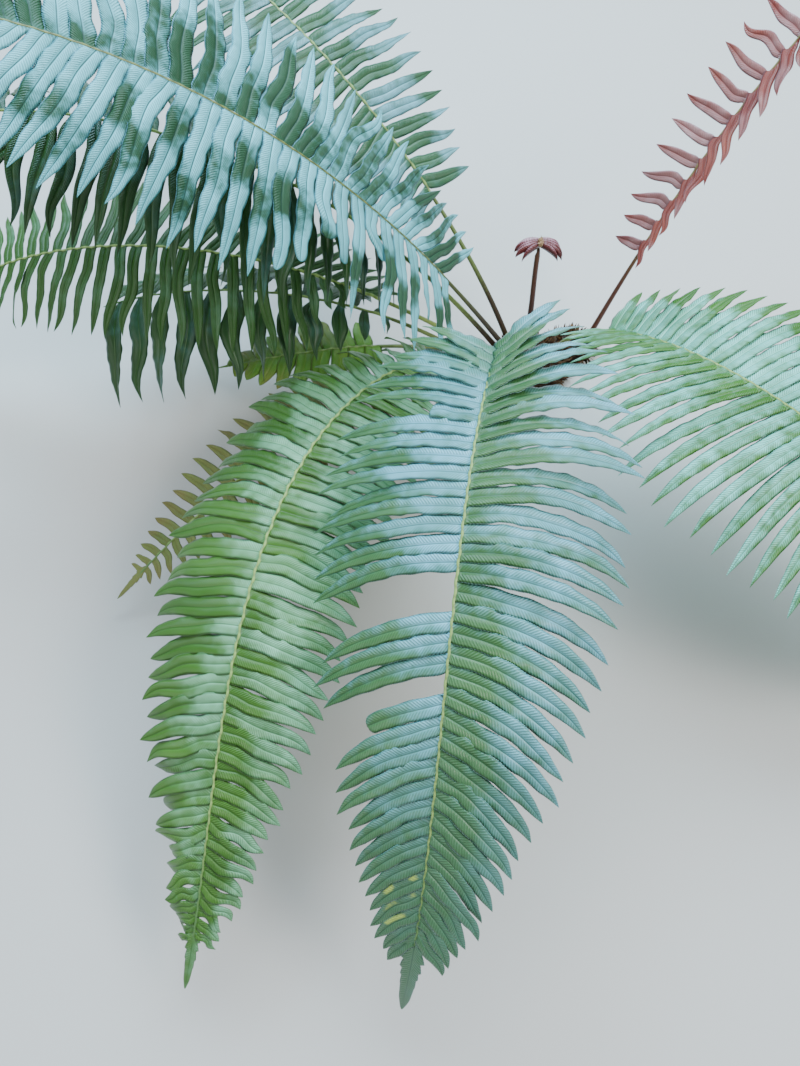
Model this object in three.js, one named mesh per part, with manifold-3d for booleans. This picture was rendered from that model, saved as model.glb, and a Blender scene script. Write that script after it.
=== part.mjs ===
// Hard fern: a tufted ground fern on a short upright crown. Millimetres, +Z up.
// The origin is the middle of the crown's flat underside, where it sits in the ground.
import * as THREE from 'three';
import Module from 'manifold-3d';

// The crown is a low dome with a smaller offset dome for the youngest frond.
const CROWN = { x: 0, y: -8, halfLength: 62, halfWidth: 50, height: 48 };
const OFFSET_CROWN = { x: 72, y: 30, halfLength: 42, halfWidth: 26, height: 31 };
const DOME_SIDES = 20;
const DOME_TIERS = 6;
const CLEARANCE = 0.4;
const BLADE_GAP = 0.38;
const HEAD_GAP = 0.32;

// A stem is a tapering round stalk, a rib is the three-sided bar that carries the leaflets.
const STEM_SIDES = 6;
const STEM_STATIONS = 7;
const STEM_FOOT_RADIUS = 4.3;
const STEM_TOP_RADIUS = 2.5;
const STEM_ROOT = 34;
const STEM_ROOT_ABOVE_GROUND = 7;
const RIB_STEPS = 240;
const RIB_WIDTH = 5;
const RIB_TIP_WIDTH = 2;
const RIB_DEPTH = 4.4;
const RIB_TIP_DEPTH = 2.2;

// Leaflets are thin blades with a keel along the middle of the underside.
const LEAFLET_STEPS = 12;
const LEAFLET_STATIONS = [5, 9];
const LEAFLET_THICKNESS = 2.1;
const SHORTEST_LEAFLET = 6;
const TAPER_POWER = 3.2;
const LAST_LEAFLET = 0.85;
const TAIL_WIDTH = 26;
const TAIL_WIDEST = 0.7;
const TAIL_SLENDER = 0.2;
const GROUND_REST = 12;

// A leaflet sags more towards its tip, and a long one more than a short one.
const SAG_AT_FOOT = 0.25;
const SAG_GROWTH = 1.5;
const SAG_LENGTH = 150;
const SICKLE_POWER = 1.5;

// The first leaflets of a blade stand up from it within this share of its length.
const FOLD_REACH = 0.25;

// Leaflets of different fronds keep this much space, or are shortened to one of the trims.
const LEAFLET_SPACE = 1.0;
const CLOSE = 40;
const LEAFLET_REACH = 140;
const TRIMS = [1, 0.85, 0.7, 0.55, 0.4];
const LENGTH_SCATTER = 0.05;
const SAG_SCATTER = 0.22;
const SAG_ROW = 7;

// The tightly curled young frond.
const CROZIER = { x: -1, y: 26, z: 30, height: 142, lean: 16, radius: 4.6, tipRadius: 3.8 };
const CROZIER_HEAD = { length: 64, width: 34, height: 28, sunk: 3, sides: 12, tiers: 8 };
const HEAD_RIDGE = 0.12;
const HEAD_RIDGES = 3;

// What a frond takes where it doesn't say otherwise.
const RESTING = {
  foot: 44, footZ: 46, footTurn: 0, footX: 0, footY: 0,
  baseShare: 0.5, peak: 0.3, taper: 1.5, crowd: 1.2, fill: 0.94, skew: 0, lift: 0,
  liftFoot: 0, sagNear: 0.3, sagFar: 0.3, bank: 0, bankTip: 0, tail: 60, split: 1,
  bites: { '-1': {}, '1': {} },
};

// Each frond: heading and climb in degrees, lengths in mm, shares along its rib from 0 to 1.
const FRONDS = [
  { name: 'short_old', azimuth: 190, sway: 1, hook: -14, rise: 36, fall: -21, bend: 0.85,
    length: 420, foot: 70, footZ: 20, footTurn: -11, bladeFrom: 0.42, pairs: 9, crowd: 1,
    leaf: 70, baseShare: 0.7, leanBase: 0, leanTip: 40, sickle: 15, sagNear: 0.6, sagFar: 0.6,
    tail: 30, colour: 0x6b8f2c },
  { name: 'low_dark', azimuth: 184, sway: -5, hook: -7, rise: 49, fall: -30, bend: 1.2,
    length: 610, foot: 70, footZ: 20, footTurn: 9, bladeFrom: 0.3, pairs: 12, crowd: 1,
    leaf: 150, baseShare: 0.15, peak: 0.75, taper: 8, leanBase: -8, leanTip: -14, skew: -15,
    sickle: -10, sagNear: 0.9, sagFar: 0.9, tail: 10, colour: 0x274c2b },
  { name: 'faded', azimuth: 204, sway: 33, hook: -20, rise: 41, fall: -32, bend: 0.85,
    length: 680, foot: 64, footZ: 20, footTurn: 8, bladeFrom: 0.3, pairs: 18, leaf: 92,
    leanBase: -5, leanTip: 18, sickle: 15, fill: 0.62, sagNear: 0.6, colour: 0x8a8a3a },
  { name: 'left_under', azimuth: 183, sway: -3.5, hook: 3.3, rise: 42, fall: -75, bend: 1.65,
    length: 1044, foot: 58, footZ: 38, footTurn: 6, bladeFrom: 0.203, pairs: 45, leaf: 122,
    peak: 0.25, taper: 2, leanBase: -45, leanTip: 62, skew: -16, sickle: 14, lift: -5,
    bank: -10, bankTip: -10, fill: 0.76, sagNear: 0.9, sagFar: 0.2, split: 2, colour: 0x3f7a3c },
  { name: 'under_top', azimuth: 182, sway: -6, hook: 8, rise: 57, fall: -37, bend: 1.6,
    length: 1005, foot: 48, footZ: 42, footTurn: -6, bladeFrom: 0.26, pairs: 32, leaf: 155,
    peak: 0.35, taper: 1.6, leanBase: -20, leanTip: 45, sickle: 10, lift: -10, sagNear: 0.6,
    split: 2, colour: 0x24502a },
  { name: 'back_left', azimuth: 141, sway: -8, hook: -2, rise: 58, fall: -35, bend: 1,
    length: 1160, bladeFrom: 0.2, pairs: 40, leaf: 150, leanBase: -18, leanTip: 50,
    sickle: 15, lift: 4, fill: 0.84, sagFar: 0.25, split: 2, colour: 0x3d6f4a },
  { name: 'left_top', azimuth: 183, sway: 0, hook: 20, rise: 58, fall: -29, bend: 1.75,
    length: 1225, foot: 38, footZ: 52, bladeFrom: 0.145, pairs: 47, leaf: 166, baseShare: 0.65,
    taper: 1.7, leanBase: -32, leanTip: 72, skew: -9, sickle: 22, lift: 4, bank: -14,
    bankTip: -8, bites: { '-1': { 2: 0.65, 6: 0.45, 8: 0.6, 9: 0.5, 10: 0.75, 11: 0.85 }, '1': {} },
    sagNear: 0.4, sagFar: 0.15, split: 2, colour: 0x4f7f74 },
  { name: 'young_red', azimuth: 38, sway: -3, hook: -12, rise: 69, fall: 18, bend: 1.5,
    length: 740, foot: 0, footX: 100, footY: 40, footZ: 30, bladeFrom: 0.2, pairs: 21,
    leaf: 68, baseShare: 0.6, peak: 0.4, leanBase: -42, leanTip: -15, skew: -28, sickle: 12,
    lift: 20, sagNear: 0.1, sagFar: 0.5, fill: 0.62, tail: 50, colour: 0x9a4a44 },
  { name: 'front_centre', azimuth: 240, sway: 51, hook: -35, rise: 93, fall: -59, bend: 0.7,
    length: 1095, foot: 52, footZ: 48, bladeFrom: 0.29, pairs: 36, crowd: 1, leaf: 180,
    peak: 0.25, leanBase: -34, leanTip: 58, skew: 2, sickle: 26, lift: 4, liftFoot: 40, bank: 26,
    bankTip: 12, bites: { '-1': {}, '1': { 6: 0.35, 16: 0, 17: 0, 21: 0, 22: 0.6 } },
    sagNear: 0.5, tail: 128, split: 2, colour: 0x3f7d50 },
  { name: 'right', azimuth: -55, sway: 20, hook: 7, rise: 99, fall: -55, bend: 0.6,
    length: 935, foot: 42, footZ: 48, bladeFrom: 0.2, pairs: 45, leaf: 198, baseShare: 0.32,
    peak: 0.42, taper: 1.4, leanBase: -34, leanTip: 61, skew: -22, sickle: 22, lift: 4,
    liftFoot: 15, sagNear: 0.15, sagFar: 0.2, split: 2, colour: 0x55936a },
  { name: 'front_left', azimuth: 202, sway: 119, hook: -68, rise: 43, fall: -40, bend: 1,
    length: 1040, foot: 54, footZ: 44, footTurn: 6, bladeFrom: 0.14, pairs: 42, leaf: 138,
    taper: 1.9, leanBase: -28, leanTip: 28, sickle: 24, sagNear: 0.36, sagFar: 0.36,
    tail: 75, split: 2, colour: 0x3c7a3f },
].map((f) => ({ ...RESTING, ...f }));

const vec = (x, y, z) => new THREE.Vector3(x, y, z);
const rad = (deg) => (deg * Math.PI) / 180;
const UP = vec(0, 0, 1);

/** Repeatable scatter from 0 to 1 for leaflet k of a row. */
function scatter(k, row) {
  const x = Math.sin(k * 12.9898 + row * 78.233) * 43758.5453;
  return x - Math.floor(x);
}

function climb(f, s) {
  return rad(f.rise + (f.fall - f.rise) * s ** f.bend);
}

function heading(f, s) {
  return rad(f.azimuth + f.sway * s + f.hook * s ** 3);
}

/** The rib's line: RIB_STEPS + 1 points from foot to tip. */
function ribLine(f) {
  const turn = rad(f.azimuth + f.footTurn);
  const p = vec(f.footX + f.foot * Math.cos(turn), f.footY + f.foot * Math.sin(turn), f.footZ);
  const line = [p.clone()];
  for (let i = 0; i < RIB_STEPS; i += 1) {
    const s = (i + 0.5) / RIB_STEPS;
    const e = climb(f, s);
    const a = heading(f, s);
    p.addScaledVector(
      vec(Math.cos(e) * Math.cos(a), Math.cos(e) * Math.sin(a), Math.sin(e)),
      f.length / RIB_STEPS);
    line.push(p.clone());
  }
  return line;
}

/** Point, forward, right and upper directions of the blade at share s. */
function ribFrame(f, line, s) {
  const x = s * RIB_STEPS;
  const i = Math.min(Math.floor(x), RIB_STEPS - 1);
  const at = line[i].clone().lerp(line[i + 1], x - i);
  const e = climb(f, s);
  const a = heading(f, s);
  const forward = vec(Math.cos(e) * Math.cos(a), Math.cos(e) * Math.sin(a), Math.sin(e));
  const level = vec(Math.sin(a), -Math.cos(a), 0);
  const over = level.clone().cross(forward);
  const b = rad(f.bank + (f.bankTip - f.bank) * s);
  const right = level.clone().multiplyScalar(Math.cos(b)).addScaledVector(over, -Math.sin(b));
  const upper = over.multiplyScalar(Math.cos(b)).addScaledVector(level, Math.sin(b));
  return { at, forward, right, upper };
}

/** Shares of the rib where one leaflet's room ends and the next one's begins. */
function rooms(f) {
  const end = 1 - (f.tail * LAST_LEAFLET) / f.length;
  const edges = [];
  for (let k = 0; k <= f.pairs; k += 1) {
    edges.push(f.bladeFrom + (end - f.bladeFrom) * (1 - (1 - k / f.pairs) ** f.crowd));
  }
  return edges;
}

function leafletLength(f, q) {
  if (q < f.peak) {
    return f.leaf * (f.baseShare + (1 - f.baseShare) * Math.sin((Math.PI / 2) * (q / f.peak)));
  }
  const fallOff = ((q - f.peak) / (1 - f.peak)) ** f.taper;
  return Math.max(f.leaf * (1 - fallOff), SHORTEST_LEAFLET);
}

/** Middle line of one leaflet with its width, forward and upper directions at each step. */
function leafletLine(f, line, k, edges, side, row) {
  const s = (edges[k] + edges[k + 1]) / 2;
  const q = (s - f.bladeFrom) / (1 - f.bladeFrom);
  const { at, forward, right, upper } = ribFrame(f, line, s);
  const length = leafletLength(f, q) * (1 + LENGTH_SCATTER * (2 * scatter(k, row) - 1));
  const room = (edges[k + 1] - edges[k]) * f.length;
  const lean = f.leanBase + (f.leanTip - f.leanBase) * q + f.skew * side;
  const fold = f.liftFoot * Math.max(1 - q / FOLD_REACH, 0) ** 2;
  const hang = side > 0 ? f.sagFar : f.sagNear;
  const sag = hang * (1 + SAG_SCATTER * (2 * scatter(k, row + SAG_ROW) - 1));
  const steps = [];
  const p = at.clone();
  for (let i = 0; i <= LEAFLET_STEPS; i += 1) {
    const t = i / LEAFLET_STEPS;
    const turn = rad(lean + f.sickle * t ** SICKLE_POWER);
    const lift = rad(f.lift + fold);
    const way = right.clone().multiplyScalar(side * Math.cos(turn) * Math.cos(lift))
      .addScaledVector(forward, Math.sin(turn) * Math.cos(lift))
      .addScaledVector(upper, Math.sin(lift));
    way.z -= sag * (SAG_AT_FOOT + SAG_GROWTH * t) * (length / SAG_LENGTH);
    if (p.z < GROUND_REST) way.z = Math.max(way.z, 0);
    way.normalize();
    const face = upper.clone().addScaledVector(way, -upper.dot(way)).normalize();
    const across = forward.clone().addScaledVector(way, -forward.dot(way))
      .addScaledVector(face, -forward.dot(face)).normalize();
    steps.push({
      at: p.clone(), way, face, across,
      width: room * Math.cos(rad(lean)) * f.fill * (1 - t ** TAPER_POWER),
    });
    p.addScaledVector(way, length / LEAFLET_STEPS);
  }
  return steps;
}

/** Narrows each leaflet where its neighbours in the row come close. */
function fitRow(row, fill) {
  row.forEach((leaf, k) => {
    if (!leaf) return;
    for (const other of [row[k - 1], row[k + 1]]) {
      if (!other) continue;
      leaf.forEach((step, i) => {
        const apart = Math.abs(other[i].at.clone().sub(step.at).dot(step.across));
        step.width = Math.min(step.width, apart * fill);
      });
    }
  });
}

/** How far a leaflet's step reaches towards a direction. */
function support(step, dir, stride) {
  return (Math.abs(dir.dot(step.across)) * step.width) / 2
    + Math.abs(dir.dot(step.face)) * LEAFLET_THICKNESS
    + (Math.abs(dir.dot(step.way)) * stride) / 2;
}

function leafletsTouch(a, b, last) {
  const strideA = a[0].at.distanceTo(a[1].at);
  const strideB = b[0].at.distanceTo(b[1].at);
  const dir = vec(0, 0, 0);
  for (let i = 1; i <= last; i += 1) {
    for (let j = 1; j <= b.last; j += 1) {
      dir.subVectors(b[j].at, a[i].at);
      const apart = dir.length();
      if (apart > CLOSE) continue;
      dir.divideScalar(apart || 1);
      if (apart < support(a[i], dir, strideA) + support(b[j], dir, strideB) + LEAFLET_SPACE) {
        return true;
      }
    }
  }
  return false;
}

function touchesRib(a, last, rib) {
  const stride = a[0].at.distanceTo(a[1].at);
  const dir = vec(0, 0, 0);
  for (let i = 1; i <= last; i += 1) {
    for (let j = 0; j < rib.length; j += 2) {
      dir.subVectors(rib[j], a[i].at);
      const apart = dir.length();
      if (apart > CLOSE) continue;
      dir.divideScalar(apart || 1);
      if (apart < support(a[i], dir, stride) + STEM_FOOT_RADIUS + LEAFLET_SPACE) return true;
    }
  }
  return false;
}

function centreOf(leaf) {
  return leaf[Math.floor(leaf.length / 2)].at;
}

/** Shortens or leaves out leaflets that would run into another frond. */
function clearOthers(fronds) {
  const placed = [];
  for (const frond of fronds) {
    for (const side of [-1, 1]) {
      frond.rows[side].forEach((leaf, k) => {
        if (!leaf) return;
        const reach = leaf[0].at.distanceTo(leaf[LEAFLET_STEPS].at);
        const near = placed.filter((o) => o.frond !== frond
          && centreOf(o.leaf).distanceTo(centreOf(leaf)) < reach + LEAFLET_REACH);
        const ribs = fronds.filter((o) => o !== frond);
        let kept = 0;
        for (const trim of TRIMS) {
          const last = Math.round(leaf.last * trim);
          if (near.some((o) => leafletsTouch(leaf, o.leaf, last))) continue;
          if (ribs.some((o) => touchesRib(leaf, last, o.line))) continue;
          kept = trim;
          break;
        }
        if (!kept) {
          frond.rows[side][k] = null;
          return;
        }
        leaf.last = Math.round(leaf.last * kept);
        placed.push({ frond, leaf });
      });
    }
  }
}

/** Collects triangles on shared vertices. */
class Skin {
  constructor() {
    this.points = [];
    this.faces = [];
  }

  add(p) {
    this.points.push(p.x, p.y, p.z);
    return this.points.length / 3 - 1;
  }

  face(a, b, c, flip = false) {
    if (flip) this.faces.push(a, c, b);
    else this.faces.push(a, b, c);
  }

  geometry() {
    const g = new THREE.BufferGeometry();
    g.setAttribute('position', new THREE.BufferAttribute(new Float32Array(this.points), 3));
    g.setIndex(this.faces);
    g.computeVertexNormals();
    return g;
  }
}

/** Joins two three-point rings (edge, edge, keel) with six triangles. */
function joinRings(skin, a, b, flip) {
  for (let i = 0; i < 3; i += 1) {
    const j = (i + 1) % 3;
    skin.face(a[i], a[j], b[j], flip);
    skin.face(a[i], b[j], b[i], flip);
  }
}

function closeTip(skin, a, tip, flip) {
  for (let i = 0; i < 3; i += 1) skin.face(a[i], a[(i + 1) % 3], tip, flip);
}

/** One leaflet grown from the ring (back edge, front edge, keel) on the rib. */
function growLeaflet(skin, leaf, ring, flip) {
  let from = ring;
  for (const station of LEAFLET_STATIONS) {
    const i = Math.round((station * leaf.last) / LEAFLET_STEPS);
    const share = station / LEAFLET_STEPS;
    const step = leaf[i];
    const half = Math.min(step.width, leaf[1].width * (1 - share ** TAPER_POWER)) / 2;
    const back = step.at.clone().addScaledVector(step.across, -half);
    const front = step.at.clone().addScaledVector(step.across, half);
    const keel = step.at.clone().addScaledVector(step.face, -LEAFLET_THICKNESS);
    const next = [skin.add(back), skin.add(front), skin.add(keel)];
    joinRings(skin, from, next, flip);
    from = next;
  }
  const tip = leaf[leaf.last];
  closeTip(skin, from, skin.add(tip.at.clone().addScaledVector(tip.face, -LEAFLET_THICKNESS / 3)),
    flip);
}

/** The blade between leaflet pairs first and last, with the tail if it is the outermost. */
function bladeGeometry(frond, first, last, outermost) {
  const { f, line, edges, rows } = frond;
  const skin = new Skin();
  const inset = (1 - f.fill) / 2;
  const depthAt = (s) => RIB_DEPTH + (RIB_TIP_DEPTH - RIB_DEPTH) * s;
  const halfAt = (s) => (RIB_WIDTH + (RIB_TIP_WIDTH - RIB_WIDTH) * s) / 2;
  const edgesAt = (s) => {
    const { at, right } = ribFrame(f, line, s);
    return [-1, 1].map((side) => skin.add(at.clone().addScaledVector(right, side * halfAt(s))));
  };
  const keelAt = (s) => {
    const { at, upper } = ribFrame(f, line, s);
    return skin.add(at.clone().addScaledVector(upper, -depthAt(s)));
  };
  let before = null;
  if (first > 0) {
    const s = edges[first] - (edges[first] - edges[first - 1]) * inset + BLADE_GAP / f.length;
    const [l1, r1] = edgesAt(s);
    before = { l1, r1, keel: keelAt(s) };
    skin.face(r1, l1, before.keel);
  }
  for (let k = first; k <= last; k += 1) {
    const room = edges[k + 1] - edges[k];
    const s0 = edges[k] + room * inset;
    const s1 = edges[k + 1] - room * inset;
    const [l0, r0] = edgesAt(s0);
    const [l1, r1] = edgesAt(s1);
    const keel = keelAt((s0 + s1) / 2);
    skin.face(l0, r0, r1);
    skin.face(l0, r1, l1);
    for (const [side, back, front] of [[-1, l0, l1], [1, r0, r1]]) {
      const leaf = rows[side][k];
      const flip = side > 0;
      if (leaf) growLeaflet(skin, leaf, [back, front, keel], flip);
      else skin.face(back, front, keel, flip);
    }
    if (before) {
      skin.face(before.l1, before.r1, r0);
      skin.face(before.l1, r0, l0);
      skin.face(before.keel, before.l1, keel);
      skin.face(before.l1, l0, keel);
      skin.face(before.r1, before.keel, keel);
      skin.face(r0, before.r1, keel);
    } else {
      skin.face(r0, l0, keel);
    }
    before = { l1, r1, keel };
  }
  if (!outermost) {
    skin.face(before.l1, before.r1, before.keel);
    return skin.geometry();
  }
  const widest = ribFrame(f, line, 1 - (f.tail * LAST_LEAFLET * TAIL_WIDEST) / f.length);
  const half = Math.min(TAIL_WIDTH, f.tail * TAIL_SLENDER) / 2;
  const ring = [
    skin.add(widest.at.clone().addScaledVector(widest.right, -half)),
    skin.add(widest.at.clone().addScaledVector(widest.right, half)),
    skin.add(widest.at.clone().addScaledVector(widest.upper, -LEAFLET_THICKNESS)),
  ];
  joinRings(skin, [before.l1, before.r1, before.keel], ring, false);
  const end = ribFrame(f, line, 1);
  closeTip(skin, ring, skin.add(end.at), false);
  return skin.geometry();
}

/** A closed round tube through stations of { at, forward, radius }. */
function tubeGeometry(stations, sides) {
  const skin = new Skin();
  const rings = stations.map(({ at, forward, radius }) => {
    const a = forward.clone().cross(Math.abs(forward.z) < 0.9 ? UP : vec(1, 0, 0)).normalize();
    const b = forward.clone().cross(a).normalize();
    return Array.from({ length: sides }, (_, i) => {
      const turn = (i / sides) * Math.PI * 2;
      return skin.add(at.clone().addScaledVector(a, radius * Math.cos(turn))
        .addScaledVector(b, radius * Math.sin(turn)));
    });
  });
  for (let k = 0; k + 1 < rings.length; k += 1) {
    for (let i = 0; i < sides; i += 1) {
      const j = (i + 1) % sides;
      skin.face(rings[k][i], rings[k][j], rings[k + 1][j]);
      skin.face(rings[k][i], rings[k + 1][j], rings[k + 1][i]);
    }
  }
  for (let i = 1; i + 1 < sides; i += 1) {
    skin.face(rings[0][0], rings[0][i + 1], rings[0][i]);
    const top = rings[rings.length - 1];
    skin.face(top[0], top[i], top[i + 1]);
  }
  return skin.geometry();
}

/** Half of an ellipsoid on a flat underside, grown outwards by extra. */
function domeGeometry(d, extra = 0) {
  const skin = new Skin();
  const rings = [];
  for (let t = 0; t < DOME_TIERS; t += 1) {
    const climbAngle = (t / DOME_TIERS) * (Math.PI / 2);
    const ring = [];
    for (let i = 0; i < DOME_SIDES; i += 1) {
      const turn = (i / DOME_SIDES) * Math.PI * 2;
      ring.push(skin.add(vec(
        d.x + (d.halfLength + extra) * Math.cos(climbAngle) * Math.cos(turn),
        d.y + (d.halfWidth + extra) * Math.cos(climbAngle) * Math.sin(turn),
        (d.height + extra) * Math.sin(climbAngle))));
    }
    rings.push(ring);
  }
  const top = skin.add(vec(d.x, d.y, d.height + extra));
  const under = skin.add(vec(d.x, d.y, 0));
  for (let i = 0; i < DOME_SIDES; i += 1) {
    const j = (i + 1) % DOME_SIDES;
    for (let t = 0; t + 1 < DOME_TIERS; t += 1) {
      skin.face(rings[t][i], rings[t][j], rings[t + 1][j]);
      skin.face(rings[t][i], rings[t + 1][j], rings[t + 1][i]);
    }
    skin.face(rings[DOME_TIERS - 1][i], rings[DOME_TIERS - 1][j], top);
    skin.face(rings[0][j], rings[0][i], under);
  }
  return skin.geometry();
}

/** The folded head of the crozier: an egg with a rolled, ridged side. */
function headGeometry(at, forward) {
  const skin = new Skin();
  const h = CROZIER_HEAD;
  const side = forward.clone().cross(UP).normalize();
  const rings = [];
  for (let t = 1; t < h.tiers; t += 1) {
    const share = t / h.tiers;
    const bulge = Math.sin(Math.PI * share);
    rings.push(Array.from({ length: h.sides }, (_, i) => {
      const turn = (i / h.sides) * Math.PI * 2;
      const ridge = 1 + HEAD_RIDGE * Math.cos(HEAD_RIDGES * turn);
      return skin.add(at.clone()
        .addScaledVector(side, h.length * (share - 0.5))
        .addScaledVector(forward, (h.width / 2) * bulge * ridge * Math.cos(turn))
        .addScaledVector(UP, (h.height / 2) * bulge * ridge * Math.sin(turn)));
    }));
  }
  const start = skin.add(at.clone().addScaledVector(side, -h.length / 2));
  const end = skin.add(at.clone().addScaledVector(side, h.length / 2));
  const last = rings.length - 1;
  for (let i = 0; i < h.sides; i += 1) {
    const j = (i + 1) % h.sides;
    for (let t = 0; t < last; t += 1) {
      skin.face(rings[t][i], rings[t][j], rings[t + 1][j]);
      skin.face(rings[t][i], rings[t + 1][j], rings[t + 1][i]);
    }
    skin.face(rings[0][j], rings[0][i], start);
    skin.face(rings[last][i], rings[last][j], end);
  }
  return skin.geometry();
}

const wasm = await Module();
wasm.setup();

function toSolid(geometry) {
  return new wasm.Manifold(new wasm.Mesh({
    numProp: 3,
    vertProperties: new Float32Array(geometry.getAttribute('position').array),
    triVerts: new Uint32Array(geometry.index.array),
  }));
}

function fromSolid(solid) {
  const mesh = solid.getMesh();
  const g = new THREE.BufferGeometry();
  const xyz = new Float32Array((mesh.vertProperties.length / mesh.numProp) * 3);
  for (let i = 0; i < xyz.length / 3; i += 1) {
    for (let c = 0; c < 3; c += 1) xyz[i * 3 + c] = mesh.vertProperties[i * mesh.numProp + c];
  }
  g.setAttribute('position', new THREE.BufferAttribute(xyz, 3));
  g.setIndex(Array.from(mesh.triVerts));
  g.computeVertexNormals();
  return g;
}

const group = new THREE.Group();
group.name = 'hard_fern';

function addNode(name, geometry, colour) {
  const mesh = new THREE.Mesh(geometry, new THREE.MeshStandardMaterial({ color: colour }));
  mesh.name = name;
  group.add(mesh);
}

const BARK = 0x3a2a1c;
const STALK = 0x6d7a3a;
const DARK_STALK = 0x4a2a22;
const RED_LEAF = 0xa0544a;

function crownSolid(extra) {
  return toSolid(domeGeometry(CROWN, extra)).add(toSolid(domeGeometry(OFFSET_CROWN, extra)));
}

addNode('crown', fromSolid(crownSolid(0)), BARK);
const crownSpace = crownSolid(CLEARANCE);

const fronds = FRONDS.map((f, n) => {
  const line = ribLine(f);
  const edges = rooms(f);
  const rows = {};
  for (const side of [-1, 1]) {
    rows[side] = [];
    for (let k = 0; k < f.pairs; k += 1) {
      const share = f.bites[side][k] ?? 1;
      const leaf = leafletLine(f, line, k, edges, side, 2 * n + (side > 0 ? 1 : 0));
      leaf.last = Math.round(LEAFLET_STEPS * share);
      rows[side].push(share ? leaf : null);
    }
    fitRow(rows[side], f.fill);
  }
  return { f, line, edges, rows };
});
clearOthers(fronds);

for (const frond of fronds) {
  const { f, line, edges } = frond;
  const start = ribFrame(f, line, 0);
  const root = Math.min(STEM_ROOT, (f.footZ - STEM_ROOT_ABOVE_GROUND) / Math.sin(climb(f, 0)));
  const stations = [{
    at: start.at.clone().addScaledVector(start.forward, -root),
    forward: start.forward,
    radius: STEM_FOOT_RADIUS,
  }];
  const firstRoom = edges[1] - edges[0];
  const top = edges[0] + (firstRoom * (1 - f.fill)) / 2 - BLADE_GAP / f.length;
  for (let i = 0; i < STEM_STATIONS; i += 1) {
    const share = i / (STEM_STATIONS - 1);
    const { at, forward, upper } = ribFrame(f, line, top * share);
    const radius = STEM_FOOT_RADIUS + (STEM_TOP_RADIUS - STEM_FOOT_RADIUS) * share;
    stations.push({ at: at.clone().addScaledVector(upper, -STEM_TOP_RADIUS), forward, radius });
  }
  stations[0].at.addScaledVector(start.upper, -STEM_TOP_RADIUS);
  const stem = toSolid(tubeGeometry(stations, STEM_SIDES)).subtract(crownSpace);
  addNode(`stem_${f.name}`, fromSolid(stem), f.name === 'young_red' ? DARK_STALK : STALK);
  for (let part = 0; part < f.split; part += 1) {
    const first = Math.round((part * f.pairs) / f.split);
    const last = Math.round(((part + 1) * f.pairs) / f.split) - 1;
    const outermost = part === f.split - 1;
    const ending = f.split === 1 ? '' : ['_inner', '_outer'][part];
    addNode(`blade_${f.name}${ending}`, bladeGeometry(frond, first, last, outermost), f.colour);
  }
}

const crozierLean = rad(CROZIER.lean);
const crozierWay = vec(0, Math.sin(crozierLean), Math.cos(crozierLean));
const crozierFoot = vec(CROZIER.x, CROZIER.y, CROZIER.z);
const crozierTop = crozierFoot.clone().addScaledVector(crozierWay, CROZIER.height);
const crozierStations = [
  { at: crozierFoot, forward: crozierWay, radius: CROZIER.radius },
  { at: crozierTop, forward: crozierWay, radius: CROZIER.tipRadius },
];
const headRise = CROZIER_HEAD.height / 2 - CROZIER_HEAD.sunk;
const headAt = crozierTop.clone().addScaledVector(crozierWay, headRise);
const head = toSolid(headGeometry(headAt, crozierWay.clone().cross(vec(1, 0, 0)).normalize()));
addNode('stem_crozier', fromSolid(toSolid(tubeGeometry(crozierStations, STEM_SIDES))
  .subtract(crownSpace).subtract(head)), DARK_STALK);
addNode('crozier_head', fromSolid(head.translate([0, 0, HEAD_GAP])), RED_LEAF);

export default group;
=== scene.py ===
"""Looks of the hard fern: leaflets, stalks, scaly crown and the curled young frond."""
import enum
import functools
import logging
import math
from collections.abc import Callable
from dataclasses import dataclass, field
from typing import ClassVar

import bpy
import numpy as np
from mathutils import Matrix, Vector


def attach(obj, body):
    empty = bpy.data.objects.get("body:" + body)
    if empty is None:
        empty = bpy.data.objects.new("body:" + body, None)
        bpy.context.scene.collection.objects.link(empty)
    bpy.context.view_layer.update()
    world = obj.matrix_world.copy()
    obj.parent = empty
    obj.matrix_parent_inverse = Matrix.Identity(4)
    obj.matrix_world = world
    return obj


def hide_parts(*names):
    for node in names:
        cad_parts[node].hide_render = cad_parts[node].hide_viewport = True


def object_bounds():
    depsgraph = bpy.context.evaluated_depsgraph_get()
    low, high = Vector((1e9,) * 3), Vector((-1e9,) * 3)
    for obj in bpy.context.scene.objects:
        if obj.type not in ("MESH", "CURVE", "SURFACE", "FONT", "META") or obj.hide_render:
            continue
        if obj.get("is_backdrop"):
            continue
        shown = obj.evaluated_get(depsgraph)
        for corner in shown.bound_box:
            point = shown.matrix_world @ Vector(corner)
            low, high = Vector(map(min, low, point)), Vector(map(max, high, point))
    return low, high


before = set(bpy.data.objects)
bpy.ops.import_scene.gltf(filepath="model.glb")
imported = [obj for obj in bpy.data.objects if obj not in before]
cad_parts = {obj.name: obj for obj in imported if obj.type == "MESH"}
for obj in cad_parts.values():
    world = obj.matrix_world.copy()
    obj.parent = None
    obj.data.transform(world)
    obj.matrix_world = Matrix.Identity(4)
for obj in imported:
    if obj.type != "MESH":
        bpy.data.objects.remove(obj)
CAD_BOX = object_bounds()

LOG = logging.getLogger("hard_fern")
MM = 0.001
TINY = 1e-9
FULL_TURN = 6.283

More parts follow.
